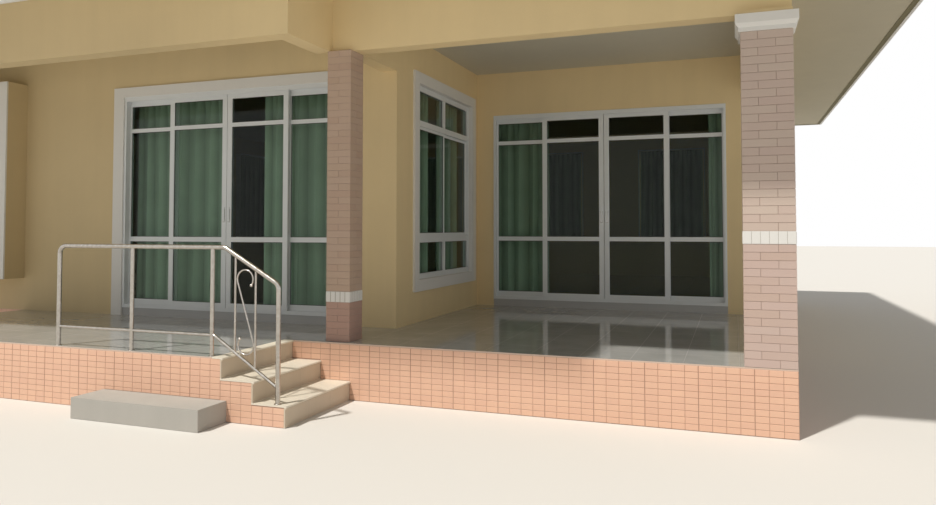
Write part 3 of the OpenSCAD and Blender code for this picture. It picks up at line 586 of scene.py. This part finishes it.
def band_pieces():
    """Upright white bricks of the bands, on all four faces of both columns, and the mortar between them."""
    bricks, joints, up = [], [], (0, 0, 1)
    for (x0, y0, side, z0, z1, _), count, joint in ((RIGHT_COLUMN, 6, 2), (LEFT_COLUMN, 5, 6)):
        brick_cells, joint_cells = band_cells(side, count, z0, z1, joint)
        x1, y1 = x0 + side, y0 + side
        for place, way in (((x0, y0, 0), (1, 0, 0)), ((x1, y0, 0), (0, 1, 0)),
                           ((x1, y1, 0), (-1, 0, 0)), ((x0, y1, 0), (0, -1, 0))):
            bricks.append(plates(place, way, up, brick_cells, 3.0))
            joints.append(plates(place, way, up, joint_cells, 0.8, bevel=0.2))
    v, f = join_grids(bricks)
    make_piece("band_bricks", v, f, WHITE)
    v, f = join_grids(joints)
    make_piece("band_joints", v, f, BAND_JOINT)


# tiles on the raised base
def tile_rows(length, z1, limit=None):
    """Cells of stack-bonded tiles 100 by 50 with thin joints, every fourth upright joint wider. limit gives
    each tile's lowest and highest visible place from the middle of its column. No narrow offcuts are laid."""
    rows, thin, wide, level, offcut = 10, 1.6, 3.2, 1.9, 8
    count = int(np.ceil(length / 100.0))
    w = length / count
    h = z1 / rows
    k, r = np.meshgrid(np.arange(count), np.arange(rows), indexing="ij")
    k, r = k.ravel(), r.ravel()
    left = np.where(k % 4 == 0, wide, thin)
    right = np.where(k % 4 == 3, wide, thin)
    cells = np.stack([k * w + left, (k + 1) * w - right, r * h + level, (r + 1) * h - level], 1)
    if limit is not None:
        low, high = limit((cells[:, 0] + cells[:, 1]) / 2)
        cells[:, 2] = np.maximum(cells[:, 2], low)
        cells[:, 3] = np.minimum(cells[:, 3], high)
    return cells[(cells[:, 3] - cells[:, 2] > offcut) & (cells[:, 1] - cells[:, 0] > offcut)]


def tile_piece(name, walls):
    """One base's tiles as a piece; each wall is a lower corner, a direction along it and cells."""
    parts, tones = [], []
    for (x, y), (ux, uy), cells in walls:
        parts.append(plates((x, y, 0), (ux, uy, 0), (0, 0, 1), cells, 2.2))
        tones.append(np.repeat(rng.uniform(0, 1, len(cells)), 12))
    v, f = join_grids(parts)
    make_piece(name, v, f, BASE_TILE, shade=np.concatenate(tones))


def base_pieces():
    """Tiles on the faces of terrace, landing, step cheeks and the rooms' raised floor."""
    under_floor, gap = 490, 3
    left_end, cheek = (LANDING_X0, LANDING_Y), LANDING_X - FLOOR_TILE_T

    def over_steps(a):
        """Above the treads that stand before the terrace's front face."""
        second, first = a < TREAD + CHEEK_LIP, a < 2 * TREAD + CHEEK_LIP
        return np.where(second, 2 * RISER, np.where(first, RISER, 0.0)) + gap, 0 * a + under_floor

    def beside_block(a):
        """Above the low concrete step before the landing."""
        return np.where(LANDING_X0 + a > LANDING_X - BLOCK_LENGTH, RISER + gap, 0.0), 0 * a + under_floor

    def under_treads(a):
        """Below the treads on the flight's cheek."""
        return 0 * a, np.where(a < TREAD - FLOOR_TILE_T, 2 * RISER - STEP_TILE_T, RISER - STEP_TILE_T)

    tile_piece("terrace_base_tiles", [
        ((LANDING_X, 0), (1, 0), tile_rows(-LANDING_X, LANDING, over_steps)),
        ((0, 0), (0, 1), tile_rows(TERRACE_D, LANDING)),
    ])
    tile_piece("landing_base_tiles", [
        (left_end, (1, 0), tile_rows(cheek - LANDING_X0, LANDING, beside_block)),
        ((LANDING_X0, PORCH_D), (0, -1), tile_rows(PORCH_D - LANDING_Y, LANDING)),
        ((cheek, LANDING_Y), (1, 0), tile_rows(2 * TREAD, LANDING, under_treads)),
    ])
    tile_piece("room_base_tiles", [
        ((0, TERRACE_D), (0, 1), tile_rows(HOUSE_D - TERRACE_D, FLOOR)),
        ((0, HOUSE_D), (-1, 0), tile_rows(-LEFT_X, FLOOR)),
        ((LEFT_X, HOUSE_D), (0, -1), tile_rows(HOUSE_D - PORCH_D, FLOOR)),
        ((LEFT_X, PORCH_D), (1, 0), tile_rows(LANDING_X0 - LEFT_X, FLOOR)),
    ])


# roof: height of a course of tiles up the slope and width of a roll, in plan millimetres
COURSE, ROLL, CAP_LENGTH = 277.0, 150.0, 330.0


def relief(s, t):
    """Height of the tiles over their plane: a round roll every 150 along the eave, and each course rising
    towards its lower edge, where it lies on the course below."""
    lift, roll_height, course_rise = 5, 17, 20
    k = np.clip(np.mod(t, COURSE) / COURSE, 0, 1)
    return lift + roll_height * np.abs(np.cos(np.pi * s / ROLL)) ** 1.5 + course_rise * (1 - k)


def slope_piece(name, place, low, high, run):
    """Tiles of one roof slope as a grid over s (along the eave) and t (level distance up from it). Rows come
    in pairs, the low and the high edge of each course; s is held within low(t) and high(t), and rims go down
    to the plane. place turns s, t and a height over the plane into plan millimetres."""
    lip, rim_z = 0.5, -2
    k = np.arange(int(np.ceil(run / COURSE)) + 1)
    t = np.stack([k * COURSE, np.minimum((k + 1) * COURSE, run) - lip], 1).ravel()
    t = np.concatenate([[0.0], t[t < run], [run - 0.4]])
    s0, s1 = low(t), high(t)
    grid = np.arange(np.floor(s0.min() / ROLL) * ROLL, s1.max() + ROLL, ROLL / 6)
    s = np.clip(grid[None, :], s0[:, None], s1[:, None])
    s = np.concatenate([s0[:, None], s, s1[:, None]], 1)
    tt = np.broadcast_to(t[:, None], s.shape)
    z = relief(s, tt)
    z[:, 0] = z[:, -1] = z[0] = z[-1] = rim_z
    verts = place(s, tt, z)
    n, m = s.shape
    i = np.arange(n * m).reshape(n, m)
    faces = np.stack([i[:-1, :-1], i[:-1, 1:], i[1:, 1:], i[1:, :-1]], -1).reshape(-1, 4)
    width = np.stack([s[:-1, 1:] - s[:-1, :-1], s[1:, 1:] - s[1:, :-1]], -1).max(-1)
    rim = np.zeros_like(width, bool)
    rim[:, 0] = rim[:, -1] = True
    faces = faces[((width > 0.5) | rim).ravel()]
    verts = verts.reshape(-1, 3)
    used = np.zeros(len(verts), bool)
    used[faces.ravel()] = True
    number = np.cumsum(used) - 1
    tile = np.floor(s / (2 * ROLL)) * 37.0 + np.floor(tt / COURSE) * 91.0
    tone = np.mod(np.sin(tile) * 43758.5453, 1.0).ravel()
    make_piece(name, verts[used], number[faces], ROOF_TILE, shade=tone[used])


def roof_pieces():
    """The six slopes: four of the main roof and two of the wing."""
    gutter = 70.0

    def plane(point):
        """Adds the plane's height at t to a slope's point."""
        def put(s, t, z):
            x, y = point(s, t)
            return np.stack([x + 0 * t, y + 0 * t, TILE_Z + t * RISE + z], -1)
        return put

    slope_piece("roof_left_tiles", plane(lambda s, t: (RX0 + t, -s)),
                lambda t: -(RY1 - t), lambda t: -np.where(t < WING, QY0 + t, RY0 + t), HIP)
    slope_piece("roof_rear_tiles", plane(lambda s, t: (-s, RY1 - t)),
                lambda t: -(RX1 - t), lambda t: -(RX0 + t), HIP)
    slope_piece("roof_right_tiles", plane(lambda s, t: (RX1 - t, s)),
                lambda t: RY0 + t, lambda t: RY1 - t, HIP)
    slope_piece("roof_front_tiles", plane(lambda s, t: (s, RY0 + t)),
                lambda t: np.where(t < WING, QX1 - t + gutter, RX0 + t), lambda t: RX1 - t, HIP)
    slope_piece("roof_wing_tiles", plane(lambda s, t: (QX1 - t, s)),
                lambda t: QY0 + t, lambda t: RY0 + t - gutter, WING)
    slope_piece("roof_wing_front_tiles", plane(lambda s, t: (s, QY0 + t)),
                lambda t: RX0 + t, lambda t: QX1 - t, WING)


def loft(rings):
    """Closed solids from rings of points, given as (solids, rings, points, 3): neighbouring rings are joined
    by four-cornered faces, and the first and last ring are closed by a strip between their two halves."""
    rings = np.asarray(rings, float)
    if rings.ndim == 3:
        rings = rings[None]
    count, r, m, _ = rings.shape
    k, q = np.meshgrid(np.arange(m), np.arange(r - 1), indexing="ij")
    k, q = k.ravel(), q.ravel()
    side = np.stack([q * m + k, q * m + (k + 1) % m, (q + 1) * m + (k + 1) % m, (q + 1) * m + k], -1)
    h = np.arange(m // 2 - 1)
    strip = np.stack([h, m - 1 - h, m - 2 - h, h + 1], -1)
    faces = np.concatenate([side, strip, strip[:, ::-1] + (r - 1) * m])
    centre = rings[0].mean((0, 1))
    corners = rings[0].reshape(-1, 3)[faces] - centre
    volume = (np.cross(corners[:, 0], corners[:, 1]) * corners[:, 2]).sum() + (
        np.cross(corners[:, 0], corners[:, 2]) * corners[:, 3]).sum()
    if volume < 0:
        faces = faces[:, ::-1]
    faces = faces[None] + (r * m) * np.arange(count)[:, None, None]
    return rings.reshape(-1, 3), faces.reshape(-1, 4)


def cap_run(a, b):
    """Ridge tiles end to end from a low point a to b: half rounds whose lower end is a wider mouth over the
    tile below, each closed by straight skirts that go down into the slopes."""
    a, b = np.array(a, float), np.array(b, float)
    way = b - a
    total = np.linalg.norm(way)
    u = way / total
    side = np.cross([0, 0, 1.0], u)
    side /= np.linalg.norm(side)
    up = np.cross(u, side)
    n = max(1, round(total / CAP_LENGTH))
    w = total / n
    lap, size = 12.0, 90.0
    t = np.array([-lap, -lap, 46.0, 54.0, w])
    r = size + np.array([6.0, 10.0, 10.0, 3.0, -3.0])
    angle = np.linspace(-np.pi / 2, np.pi / 2, 9)
    x = np.concatenate([[-0.92], np.sin(angle), [0.92]])
    z = np.concatenate([[-0.8], np.cos(angle), [-0.8]])
    x = np.append(x, 0.0)
    z = np.append(z, -0.8)
    start = a + np.maximum(np.arange(n) * w, lap)[:, None] * u
    rings = (start[:, None, None] + t[None, :, None, None] * u + r[None, :, None, None] *
             (x[:, None] * side + z[:, None] * up)[None, None])
    return loft(rings)


def dome(c, r, low):
    """A round hub over c: rings of 20 points from the depth low up to nearly the top."""
    angle = np.radians([-40, -10, 15, 35, 55, 75, 88])
    turn = 2 * np.pi * np.arange(20) / 20
    ring = np.stack([np.cos(turn), np.sin(turn), 0 * turn], -1)
    rings = ring[None] * (r * np.cos(angle))[:, None, None]
    rings[..., 2] += np.maximum(r * np.sin(angle), -low)[:, None]
    return loft(rings + np.array(c, float))


def cap_pieces():
    """Ridge and hip tiles with a round hub at each meeting, in the place of the plain caps."""
    mid_y, mid_x = (RY0 + RY1) / 2, (RX0 + QX1) / 2
    a = np.array([RX0 + HIP, mid_y, TILE_Z + HIP * RISE])
    b = np.array([RX1 - HIP, mid_y, TILE_Z + HIP * RISE])
    c = np.array([mid_x, RY0 + WING, TILE_Z + WING * RISE])
    d = np.array([mid_x, QY0 + WING, TILE_Z + WING * RISE])
    from_corner, from_hub, corner_hub, top_hub = 200, 60, (99, 70), (146, 90)
    runs, ends = [], []
    for corner, top in (((RX1, RY0), b), ((RX1, RY1), b), ((RX0, RY1), a), ((RX0, QY0), d), ((QX1, QY0), d)):
        low = np.array([*corner, TILE_Z])
        u = (top - low) / np.linalg.norm(top - low)
        runs.append(cap_run(low + from_corner * u, top - from_hub * u))
        ends.append(dome(low + from_corner * u, *corner_hub))
    for low, top in ((a, b), (c, a), (d, c)):
        u = (top - low) / np.linalg.norm(top - low)
        runs.append(cap_run(low + from_hub * u, top - from_hub * u))
    runs += [dome(p, *top_hub) for p in (a, b, c, d)] + ends
    v, f = join_grids(runs)
    cell = np.round(v / CAP_LENGTH)
    tone = np.mod(np.sin(cell[:, 0] * 12.9 + cell[:, 1] * 78.2) * 43758.5, 1.0)
    obj = make_piece("ridge_tiles", v, f, ROOF_TILE, smooth=True, shade=tone)
    obj.data.set_sharp_from_angle(angle=math.radians(40))
    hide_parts("ridge_caps")


# trim
def disc(c, axis, r, h, count=24):
    """A short round piece of radius r with a chamfered rim, from c over the length h along axis y or z."""
    turn = 2 * np.pi * np.arange(count) / count
    order = {"y": (2, 0, 1), "z": (0, 1, 2)}[axis]
    sign = 1 if h > 0 else -1
    rings = np.zeros((3, count, 3))
    for k, (size, lift) in enumerate(((r, 0.0), (r, h - sign * min(2.0, abs(h) / 2)), (r - 2.0, h))):
        rings[k, :, order[0]] = size * np.cos(turn)
        rings[k, :, order[1]] = size * np.sin(turn)
        rings[k, :, order[2]] = lift
    return loft(rings + np.array(c, float))


def frame_boxes(x0, x1, z0, z1, y0, y1, w):
    """Four bars of width w inside an upright rectangle, from y0 to y1 deep, as lowest and highest corners."""
    lo = [[x0, y0, z0], [x0, y0, z1 - w], [x0, y0, z0 + w], [x1 - w, y0, z0 + w]]
    hi = [[x1, y1, z0 + w], [x1, y1, z1], [x0 + w, y1, z1 - w], [x1, y1, z1 - w]]
    return np.array(lo, float), np.array(hi, float)


# each door's middle on its wall, its frame's top, lower and upper edge of its cross rail and of its upper bar
DOORS = {"terrace": ((-1980, TERRACE_D), 3030, (1360, 1415), (2640, 2690)),
         "porch": ((-5798, PORCH_D), 3085, (1370, 1425), (2666, 2712))}
# half a door's opening, width of a sliding and of a fixed leaf, of stile, top rail and the frame's side
DOOR_HALF, LEAF, FIXED_LEAF, STILE, DOOR_RAIL, DOOR_FRAME = 1441, 800, 696, 62, 58, 20
# half the gap at the meeting stiles, and how far sliding and fixed panes stand behind the wall's face
MEETING, SLIDING_Y, FIXED_Y = 3, 23, 74
# each window's middle at its frame's outer face, way along the wall, width, sill, head, lower and upper edge
# of its cross bar and of its upper bar, frame width, depth of the reveal
WINDOWS = [((SIDE_X - 30, 2421), (0, 1), 1727, 960, 3120, (1364, 1470), (2632, 2730), 60, 30),
           ((-9810, 770), (1, 0), 1660, 1020, 3220, (1364, 1470), (2766, 2856), 60, 20)]
PLAIN_WINDOWS = ([((x, HOUSE_D - 30), (-1, 0)) for x in (-1700, -4300, -6900, -9500)]
                 + [((-30, y), (0, 1)) for y in (5000, 7200, 9400)]
                 + [((LEFT_X + 30, y), (0, -1)) for y in (3000, 5900, 8800)])
WINDOWS += [(place, way, 1240, 1400, 3060, (1450, 1484), (2632, 2710), 50, 30)
            for place, way in PLAIN_WINDOWS]


def bead_boxes(frames):
    """Closed boxes of several rectangles of beads."""
    return boxes(np.concatenate([lo for lo, hi in frames]), np.concatenate([hi for lo, hi in frames]))


def door_gaskets():
    """Black rubber beads before the panes of both doors: a piece for each sliding leaf, one for all fixed."""
    bead, front, back = 5, 8, 3.2
    leaf_z0, fixed_z0, under_top, fixed_under_top = 684, 691, 42, 49
    fixed = []
    for door, ((x, y), top, rail, bar) in DOORS.items():
        for side, sign in (("left", -1), ("right", 1)):
            a0, a1 = np.sort([sign * (MEETING + STILE), sign * (MEETING + LEAF - STILE)]) + x
            rows = ((leaf_z0, rail[0]), (rail[1], bar[0]), (bar[1], top - under_top - DOOR_RAIL))
            v, f = bead_boxes([frame_boxes(a0, a1, z0, z1, y + SLIDING_Y - front, y + SLIDING_Y - back, bead)
                               for z0, z1 in rows])
            body = f"{door}_{side}"
            make_piece(body + "_gasket", v, f, RUBBER, body=body)
            inner = DOOR_HALF - FIXED_LEAF + STILE
            a0, a1 = np.sort([sign * (DOOR_HALF - DOOR_FRAME), sign * inner]) + x
            rows = ((fixed_z0, rail[0]), (rail[1], bar[0]), (bar[1], top - fixed_under_top - DOOR_RAIL))
            fixed += [frame_boxes(a0, a1, z0, z1, y + FIXED_Y - front, y + FIXED_Y - back, bead)
                      for z0, z1 in rows]
    v, f = bead_boxes(fixed)
    make_piece("fixed_leaf_gaskets", v, f, RUBBER)


def window_gaskets():
    """Black rubber beads before the windows' panes: fixed lights below and above, two sashes between."""
    bead, overlap = 5, 34
    fixed_b, outer_b, inner_b = (22.4, 26.6), (11.6, 15.8), (39.6, 43.8)
    pieces = []
    for place, way, w, z0, z1, rail, bar, frame_w, _ in WINDOWS:
        got = []
        for s in (-1, 1):
            mid, half = s * (w - frame_w) / 4, (w / 2 - frame_w * 1.5) / 2
            for low, high in ((z0 + frame_w, rail[0]), (bar[1], z1 - frame_w)):
                if high > low:
                    got.append(frame_boxes(mid - half, mid + half, low, high, *fixed_b, bead))
        wide = (w - overlap) / 2 - frame_w
        for a, depths in ((frame_w - w / 2, outer_b), (overlap / 2, inner_b)):
            got.append(frame_boxes(a, a + wide, rail[1], bar[0], *depths, bead))
        v, f = bead_boxes(got)
        pieces.append((along_wall(v, place, way), f))
    v, f = join_grids(pieces)
    make_piece("window_gaskets", v, f, RUBBER)


def lock_pieces():
    """A narrow lock plate with a round cylinder between two screws on each sliding leaf's meeting stile."""
    half_w, low, high, screw_in = 17, 1590, 1740, 14
    mid = (low + high) / 2
    for door, ((x, y), *_) in DOORS.items():
        for side, sign in (("left", -1), ("right", 1)):
            cx, face = x + sign * (MEETING + STILE / 2), y + SLIDING_Y - 16
            cell = [[-half_w, half_w, low, high]]
            v, f = join_grids([plates((cx, face, 0), (1, 0, 0), (0, 0, 1), cell, 2.5, bevel=1.2, back=0.5),
                               disc((cx, face - 2.6, mid), "y", 9, -4)])
            body = f"{door}_{side}"
            make_piece(body + "_lock", v, f, LOCK, body=body)
            screws = [disc((cx, face - 2.6, z), "y", 5, -1.5, 16) for z in (low + screw_in, high - screw_in)]
            v, f = join_grids(screws + [disc((cx, face - 6.6, mid), "y", 3.5, -0.4, 12)])
            make_piece(body + "_lock_screws", v, f, RUBBER, body=body)


def rail_pieces():
    """Round flanges at the feet of the handrail's posts."""
    feet = [(-3743, RISER), (-4366, FLOOR), (-5186, FLOOR), (-6000, FLOOR)]
    rail_y = LANDING_Y + 30
    v, f = join_grids([disc((x, rail_y, z), "z", 29, 6, 32) for x, z in feet])
    make_piece("post_flanges", v, f, STEEL)


def lamp_pieces():
    """End caps of the tube lamp."""
    x0, length, cap, y0, y1, z0, z1 = -7296, 1230, 18, -652, -620, 3740, 3790
    v, f = boxes([[x, y0, z0] for x in (x0, x0 + length - cap)],
                 [[x, y1, z1] for x in (x0 + cap, x0 + length)])
    bevelled(make_piece("lamp_end_caps", v, f, LAMP_END), 0.003)


def soffit_pieces():
    """Dark strip along the outer edge of the soffits."""
    inside, w, z0, z1 = 77, 55, 3795, 3799.8
    x0, x1, g1 = RX0 + inside, RX1 - inside, QX1 - inside
    y0, g0, y1 = RY0 + inside, QY0 + inside, RY1 - inside
    runs = [(x0, g0, g1, g0 + w), (g1 - w, g0 + w, g1, y0), (g1 - w, y0, x1, y0 + w),
            (x1 - w, y0 + w, x1, y1 - w), (x0, y1 - w, x1, y1), (x0, g0 + w, x0 + w, y1 - w)]
    v, f = boxes([[a, b, z0] for a, b, *_ in runs], [[a, b, z1] for *_, a, b in runs])
    make_piece("soffit_edge_strips", v, f, SOFFIT_EDGE)


def reveal_pieces():
    """White render 2 mm thick that lines each window's opening between the wall's face and the frame."""
    parts = []
    for place, way, w, z0, z1, *_, deep in WINDOWS:
        h, t, face = w / 2, 2.0, -0.2
        v, f = boxes([[-h, -deep, z0], [h - t, -deep, z0], [t - h, -deep, z0], [t - h, -deep, z1 - t]],
                     [[t - h, face, z1], [h, face, z1], [h - t, face, z0 + t], [h - t, face, z1]])
        parts.append((along_wall(v, place, way), f))
    v, f = join_grids(parts)
    make_piece("window_reveals", v, f, WHITE)


def curtain_boxes():
    """White boards beside and above the curtains of the plain windows, from the wall inwards."""
    half, board, b0, z0, z1 = 690, 18, 90, 1240, 3212
    v, f = boxes([[-half, b0, z0], [half - board, b0, z0], [-half, b0, z1]],
                 [[board - half, 190, z1], [half, 190, z1], [half, 200, z1 + board]])
    v, f = join_grids([(along_wall(v, place, way), f) for place, way in PLAIN_WINDOWS])
    make_piece("curtain_boxes", v, f, BOARD)


# curtains
def curtain(name, origin, along, inward, a0, a1, b, z0, z1, folds, seed):
    """Cloth gathered on a rail: a grid over the cloth's own width and height. Across it the cloth goes in and
    out as a wave with a rounded front, whose local pace and depth drift so that folds are broad and narrow in
    turn. Small pinch pleats at the heading fade out over the top fifth, and towards the hem the folds open
    and lean a little."""
    r = np.random.default_rng(seed)
    n, m, fold, end_gap = int(folds * 18) + 1, 23, 22.0, 12
    p = np.linspace(0, 1, n)[None, :]
    q = np.linspace(0, 1, m)[:, None] ** 1.3

    def drift(size, low, high):
        """A slow random wave across the cloth."""
        return sum(r.uniform(-size, size) / k * np.sin(2 * np.pi * k * p + r.uniform(0, 6.28))
                   for k in range(low, high))

    phase = 2 * np.pi * folds * p + drift(1.5, 1, 4) + q * drift(0.6, 1, 3)
    heading = np.clip(1 - q * 5, 0, 1)
    broad = np.sin(phase) + 0.22 * np.sin(2 * phase + 0.6)
    reach = np.clip((0.72 + 0.28 * q) * (1 + drift(0.3, 1, 4)), 0.35, 1.0) / 1.16
    off = fold * ((1 - heading) * broad * reach + heading * 0.6 * np.sin(2.0 * phase))
    ends = np.exp(-(np.minimum(p, 1 - p) * (a1 - a0) / 30) ** 2)
    off = np.clip(off * (1 - ends) - fold * ends, -22.5, 22.5)
    bunch = (a1 - a0) / folds * (0.13 * np.sin(2 * phase) + 0.05 * np.sin(phase)) * (0.5 + 0.5 * q)
    lean = 10 * q * np.sin(2.2 * np.pi * p + seed)
    hung = a0 + end_gap + p * (a1 - a0 - 2 * end_gap)
    place_a = np.clip(hung + (bunch + lean) * np.sin(np.pi * p) ** 0.5, a0 + 2, a1 - 2)
    z = np.clip(z1 - q * (z1 - z0 - 6) + 5 * q * np.cos(phase * 0.5), z0, z1)
    verts = (np.array(origin, float) + place_a[..., None] * np.array(along, float)
             + (b + off)[..., None] * np.array(inward, float) + z[..., None] * np.array([0, 0, 1.0]))
    i = np.arange(n * m).reshape(m, n)
    faces = np.stack([i[:-1, :-1], i[1:, :-1], i[1:, 1:], i[:-1, 1:]], -1).reshape(-1, 4)
    step = np.sqrt((np.diff(verts, axis=1) ** 2).sum(-1))
    # fold depth kept as the attribute tone; the cloth darkens the valleys with it as painted shade
    depth = np.broadcast_to(0.5 - off / 45, (m, n)).ravel()
    obj = make_piece(name, verts.reshape(-1, 3), faces, CLOTH, smooth=True, shade=depth)
    cut = np.concatenate([np.zeros((m, 1)), np.cumsum(step, 1)], 1) / 1000
    loops = np.empty(len(obj.data.loops), np.int32)
    obj.data.loops.foreach_get("vertex_index", loops)
    uv = np.stack([cut.ravel(), np.broadcast_to(z, (m, n)).ravel() / 1000], -1)[loops]
    obj.data.uv_layers.new(name="cut").data.foreach_set("uv", np.ascontiguousarray(uv, np.float32).ravel())
    solid = obj.modifiers.new("thickness", "SOLIDIFY")
    solid.thickness = 0.001
    solid.offset = 0
    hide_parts("curtains")


def curtain_pieces():
    """All curtains, each in the place of its plain solid: the opening and the way along its wall, the cloth's
    ends from the opening's middle, how far inside it hangs, its hem and its rail."""
    terrace, porch, side, bay = DOORS["terrace"][0], DOORS["porch"][0], WINDOWS[0][0], WINDOWS[1][0]
    rows = [("terrace_left", terrace, (1, 0), -1500, -760, 260, 520, 3150),
            ("terrace_right", terrace, (1, 0), 1250, 1500, 260, 520, 3150),
            ("porch_left", porch, (1, 0), -1500, -190, 260, 520, 3200),
            ("porch_right", porch, (1, 0), 330, 1500, 260, 520, 3200),
            ("side_near", side, (0, 1), -840, -130, 180, 900, 3200),
            ("side_far", side, (0, 1), 110, 840, 180, 900, 3200),
            ("bay_left", bay, (1, 0), -800, -250, 145, 1040, 3200),
            ("bay_right", bay, (1, 0), 250, 800, 145, 1040, 3200)]
    rows += [(f"plain_{i + 1}", place, way, -660, 660, 165, 1250, 3200)
             for i, (place, way) in enumerate(PLAIN_WINDOWS)]
    for seed, (name, (x, y), (cx, cy), a0, a1, b, z0, z1) in enumerate(rows):
        curtain("curtain_" + name, (x, y, 0), (cx, cy, 0), (-cy, cx, 0), a0, a1, b, z0, z1,
                max(2.5, (a1 - a0) / 185), seed)


column_pieces()
band_pieces()
base_pieces()
roof_pieces()
cap_pieces()
door_gaskets()
window_gaskets()
lock_pieces()
rail_pieces()
lamp_pieces()
soffit_pieces()
curtain_boxes()
reveal_pieces()
curtain_pieces()

# camera: the eye in plan millimetres, turn and tilt in degrees, focal length, shift and image width in pixels
EYE, YAW, PITCH, FOCAL, SHIFT, IMAGE_WIDTH = (-416, -5840, 1518), 19.93, 1.994, 737.0, -49.4, 936


def photo_camera():
    """A plain camera at the photographer's place: 5.8 m before the raised base, at eye height."""
    data = bpy.data.cameras.new("camera")
    data.sensor_width = 36.0
    data.lens = FOCAL / IMAGE_WIDTH * data.sensor_width
    data.shift_y = SHIFT / IMAGE_WIDTH
    data.clip_end = 200
    cam = bpy.data.objects.new("camera", data)
    cam.location = in_metres(EYE)
    cam.rotation_euler = (math.pi / 2 + math.radians(PITCH), 0, math.radians(YAW))
    bpy.context.scene.collection.objects.link(cam)
    bpy.context.scene.camera = cam


photo_camera()


# floor and light
def studio():
    """A wide pale floor just under the house, a high soft key lamp from the left front, and a world that is
    white to the eye, in mirrors and through panes, but lights the house only as a fill."""
    size, below, fill = 60.0, 0.002, 0.37
    mesh = bpy.data.meshes.new("studio_floor")
    corners = [(-size, -size, -below), (size, -size, -below), (size, size, -below), (-size, size, -below)]
    mesh.from_pydata(corners, [], [(0, 1, 2, 3)])
    floor = bpy.data.objects.new("studio_floor", mesh)
    bpy.context.scene.collection.objects.link(floor)
    m, t, s = new_material("studio floor")
    s.inputs["Base Color"].default_value = (0.72, 0.70, 0.66, 1)
    s.inputs["Roughness"].default_value = 0.9
    mesh.materials.append(m)
    sun = bpy.data.lights.new("key", "SUN")
    sun.energy = 3.15
    sun.angle = math.radians(2.5)
    sun.color = (1.0, 0.96, 0.90)
    key = bpy.data.objects.new("key", sun)
    key.rotation_mode = "QUATERNION"
    key.rotation_quaternion = Vector((0.55, 1.0, -1.93)).to_track_quat("-Z", "Y")
    bpy.context.scene.collection.objects.link(key)
    world = bpy.data.worlds.new("world")
    world.use_nodes = True
    bpy.context.scene.world = world
    t = world.node_tree
    back = t.nodes["Background"]
    path = t.nodes.new("ShaderNodeLightPath")
    mirrored = maths(t, "MAXIMUM", path.outputs["Is Glossy Ray"], path.outputs["Is Transmission Ray"])
    seen = maths(t, "MAXIMUM", path.outputs["Is Camera Ray"], mirrored)
    strength = maths(t, "ADD", maths(t, "MULTIPLY", seen, 1 - fill), fill)
    t.links.new(strength, back.inputs["Strength"])
    back.inputs["Color"].default_value = (1, 1, 1, 1)


studio()
bpy.context.scene.view_settings.view_transform = "Standard"
